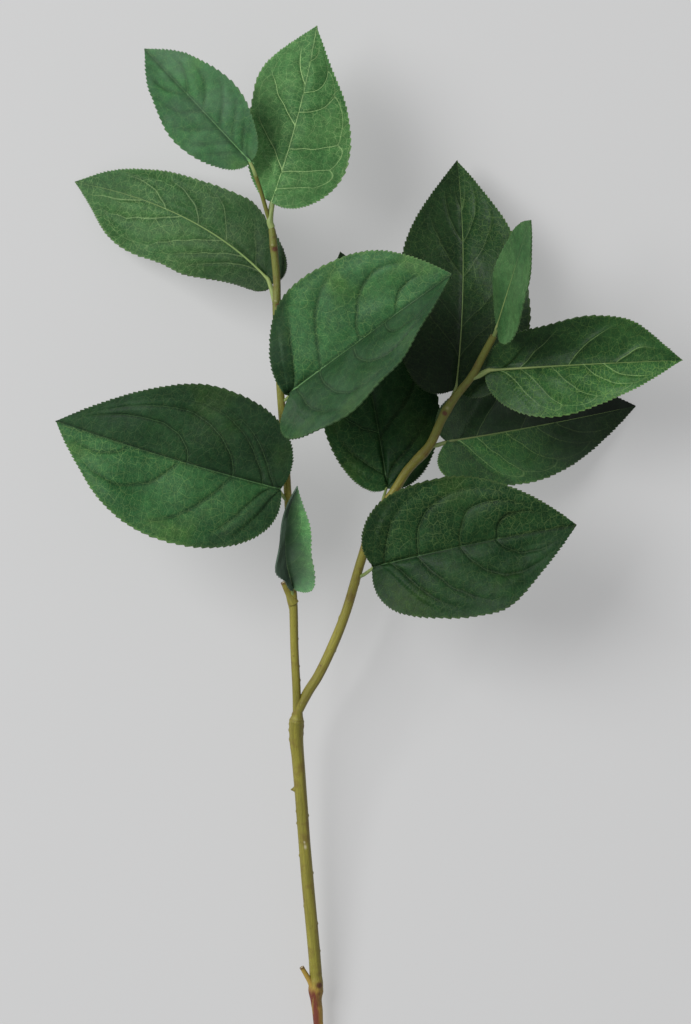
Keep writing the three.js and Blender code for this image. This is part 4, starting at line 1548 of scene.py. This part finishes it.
def left_leaves() -> list[Leaf]:
    """List the leaves of the left stem.

    Returns:
        The leaves, from the stem's top down.
    """
    stem, upper, under, deep, pale = Stem.LEFT, Face.UPPER, Face.UNDER, Print.DEEP, Print.PALE
    # Each leaf's shading paints light and shade into its halves, base and base lobe, and mixes in painted
    # sheen.
    return [
        Leaf("leaf_top", LeafShape((-39.4, 145.6, 65), (-83.6, 192.6, 68), 33.5, arch=15, fold=8, curl=8,
                                   shoulder=0, widest=0.4, skew=-0.03),
             stem, 150, upper, deep, 1, (SOFT, SOFT), PaintedShading(2.0, 2.0, 1.0, 0.22, net=(0.35, 0.35)), rib=0.5,
             straight=True, veined=0.7, quilt=1.15,
             dents=((1, 0.82, 0.1, -1.3), (1, 0.15, 0.14, 1.1), (1, 0.5, 0.2, -1.3), (-1, 0.5, 0.2, -0.2),
                    (-1, 0.15, 0.14, 1.3), (-1, 0.82, 0.1, -0.9))),
        Leaf("leaf_second", LeafShape((-31, 129.6, 57.5), (-12, 204.2, 44), 47, roll=-13, arch=8, sway=12,
                                      fold=-14, shoulder=0.22, widest=0.42, taper=0.42, lean=0.05,
                                      skew=0.12),
             stem, 120.6, upper, pale, 2, (ACUTE, LOOPED),
             PaintedShading(1.42, 1.4, lobe_shading=(1.35, 1.0), net=(0.85, 0.85)),
             rib=0.85, straight=True, petiole_radius=1.4, quilt=0.7,
             dents=((1, 0.72, 0.15, -1.4), (-1, 0.8, 0.15, 1.6), (-1, 0.05, 0.1, 1.0),
                    (-1, 0.33, 0.2, -0.7))),
        Leaf("leaf_side", LeafShape((-31, 96, 49), (-116, 141.2, 0), 40, roll=4, arch=-28, sway=34, fold=8,
                                    shoulder=0.75, widest=0.47, taper=0.46, lean=-0.04, skew=0.11,
                                    wave=0.12, waves=2, phase=200),
             stem, 83, under, pale, 3, (SLANTED, STEEP), PaintedShading(1.04, 0.98, 0.36, net=(1.2, 1.1)),
             petiole_radius=1.15, straight=True,
             dents=((-1, 0.52, 0.1, 0.8), (-1, 0.85, 0.12, -1.9), (1, 0.7, 0.14, -2.5), (1, 0.35, 0.2, -1.8),
                    (1, 0.13, 0.16, 3.8), (-1, 0.28, 0.12, -1.2), (1, 0.86, 0.1, 1.0), (-1, 0.1, 0.1, 0.6))),
        Leaf("leaf_front", LeafShape((-24.1, 49.4, 57.5), (44, 98, 88), 75, roll=-25, arch=8, sway=2,
                                     fold=24, curl=8, shoulder=0.5, taper=0.46, skew=0.08, reach=0.17,
                                     lobe_skew=0.5),
             stem, 46, upper, deep, 4, (SWEPT, HOOKED),
             PaintedShading(1.55, 0.8, 0.95, 0.08, (0.45, 1.0), (0.75, 0.5)),
             rib=0.5, lift=4.0, petiole_radius=0.65,
             dents=((1, 0.15, 0.2, 0.2), (1, 0.55, 0.25, 3.6), (-1, 0.5, 0.18, 2.0), (-1, 0.86, 0.12, 1.7),
                    (-1, 0.1, 0.15, 1.2))),
        Leaf("leaf_left", LeafShape((-27, 9.6, 55), (-121, 38, 58), 68, arch=12, sway=-5, fold=6, curl=8,
                                    shoulder=0.75, skew=0.04),
             stem, 4.5, upper, deep, 5, (SWEPT, WIDE_ARCS),
             PaintedShading(1.5, 0.68, 0.76, 0.035, (0.6, 0.85), (0.75, 0.6)), rib=0.35, petiole_radius=0.75,
             dents=((-1, 0.5, 0.2, -0.6), (1, 0.85, 0.1, 1.2))),
        Leaf("leaf_folded", LeafShape((-22.0, -31.6, 50), (-19.8, 10.6, 84), 27, roll=28, arch=-10, sway=-34,
                                      fold=35, curl=22, shoulder=0.8, widest=0.42, skew=0.1, lobe_skew=0.4),
             stem, -36.5, upper, pale, 6, (SWEPT, FOLDED),
             PaintedShading(0.05, 5.8, 1.0, 0.5, net=(0.4, 0.4), beside=0.35),
             rib=0.3, veined=0.25, quilt=0.4, petiole_radius=0.6,
             dents=((-1, 0.35, 0.25, 3.0), (1, 0.6, 0.2, -2.2), (1, 0.16, 0.14, 4.8), (-1, 0.12, 0.12, 0.4),
                    (-1, 0.6, 0.2, -1.0))),
    ]


def right_leaves() -> list[Leaf]:
    """List the leaves of the right branch.

    Returns:
        The leaves, with the dark one at the back first.
    """
    stem, upper, under = Stem.RIGHT, Face.UPPER, Face.UNDER
    deep, rich, pale = Print.DEEP, Print.RICH, Print.PALE
    # Each leaf's shading paints light and shade into its halves, base and base lobe, and mixes in painted
    # sheen.
    return [
        Leaf("leaf_back", LeafShape((17.8, 10, 38), (-2.3, 111, 12), 50, roll=5, arch=10, sway=5, fold=6,
                                    shoulder=0.45, widest=0.36, lean=0.08),
             stem, 2, upper, deep, 7, (ARCS, SWEPT), PaintedShading(0.6, 0.5, 1.5, net=(0.9, 0.6)), rib=0.3,
             petiole_radius=0.65),
        Leaf("leaf_tall", LeafShape((46.4, 51.3, 43), (47.6, 149.7, 12), 53, arch=10, sway=12, fold=8,
                                    shoulder=1.1, widest=0.38),
             stem, 46, under, rich, 8, (FEATHERED, FEATHERED), PaintedShading(0.36, 0.58, 0.65, net=(0.9, 1.1)),
             groove=0.2, petiole_radius=0.7, quilt=0.35,
             dents=((1, 0.68, 0.22, -2.3), (-1, 0.27, 0.16, -2.6), (1, 0.1, 0.15, -1.4),
                    (-1, 0.85, 0.12, 1.2))),
        Leaf("leaf_upright", LeafShape((63.8, 76.6, 62), (75.9, 119.6, 100), 37, roll=-69, twist=12, fold=5,
                                       shoulder=0.1, lobe_skew=0.4),
             stem, 90, under, pale, 9, (ACUTE, ACUTE), PaintedShading(0.96, 0.96, 1.1, 0.03, net=(0.5, 0.5)), rib=0.5,
             veined=0.0, straight=True, rib_reach=0.62,
             dents=((1, 0.68, 0.15, 2.4), (1, 0.4, 0.2, 3.0), (-1, 0.15, 0.15, -2.5))),
        Leaf("leaf_bright", LeafShape((58.8, 59.4, 50.5), (140.8, 63.4, 58), 43, roll=11, arch=10, sway=-4,
                                      fold=12, shoulder=0.2, widest=0.42, taper=0.34, skew=0.06),
             stem, 56.5, under, rich, 10, (RISING, SPREAD), PaintedShading(0.86, 1.3, 0.66, net=(0.8, 1.15)),
             petiole_radius=1.25, dents=((1, 0.3, 0.15, 2.4), (1, 0.76, 0.1, -1.9), (-1, 0.58, 0.2, 1.7))),
        Leaf("leaf_low", LeafShape((41.8, 29.4, 40.8), (124.3, 45.4, 0), 45, roll=-6, arch=-28, fold=6,
                                   shoulder=0.95, widest=0.35, taper=0.36, reach=0.2, lobe_skew=0.25),
             stem, 28, under, rich, 11, (RISING, SPREAD),
             PaintedShading(0.075, 0.3, 8.4, 0.06, (1.0, 0.5), (0.7, 0.9)),
             petiole_radius=0.95, dents=((1, 0.85, 0.12, -1.2), (-1, 0.6, 0.3, -1.3))),
        Leaf("leaf_lower", LeafShape((11.5, -23, 49), (96.5, -5.4, 60), 60, roll=4, arch=12, sway=-6, fold=8,
                                     curl=4, shoulder=0.8, widest=0.4),
             stem, -27.5, upper, deep, 12, (ARCS, FOLDED),
             PaintedShading(0.63, 0.58, 1.0, 0.0, (0.75, 1.0), (1.4, 0.7)),
             rib=0.5, petiole_radius=0.75,
             dents=((-1, 0.62, 0.12, -2.6), (-1, 0.22, 0.18, 1.9), (1, 0.12, 0.12, -0.8),
                    (1, 0.25, 0.2, -0.8))),
    ]


def main() -> None:
    """Build the dressed stem and the studio; each piece logs its faces and how far it lies from its solid's
    box.
    """
    logging.basicConfig(level=logging.INFO, format="%(message)s", stream=sys.stdout)
    bark = BARK_FINISH.material()
    for stem in STEMS:
        stem.build(bark)
    lines = {stem.node: stem.line() for stem in STEMS}
    finishes = {Print.DEEP: DEEP_FINISH, Print.RICH: RICH_FINISH, Print.PALE: PALE_FINISH}
    prints = {colour: finish.material() for colour, finish in finishes.items()}
    petiole = PETIOLE_FINISH.material()
    for leaf in left_leaves() + right_leaves():
        leaf.build(lines[leaf.stem.value], prints, petiole)
    Studio().build()


if __name__ == "__main__":
    main()
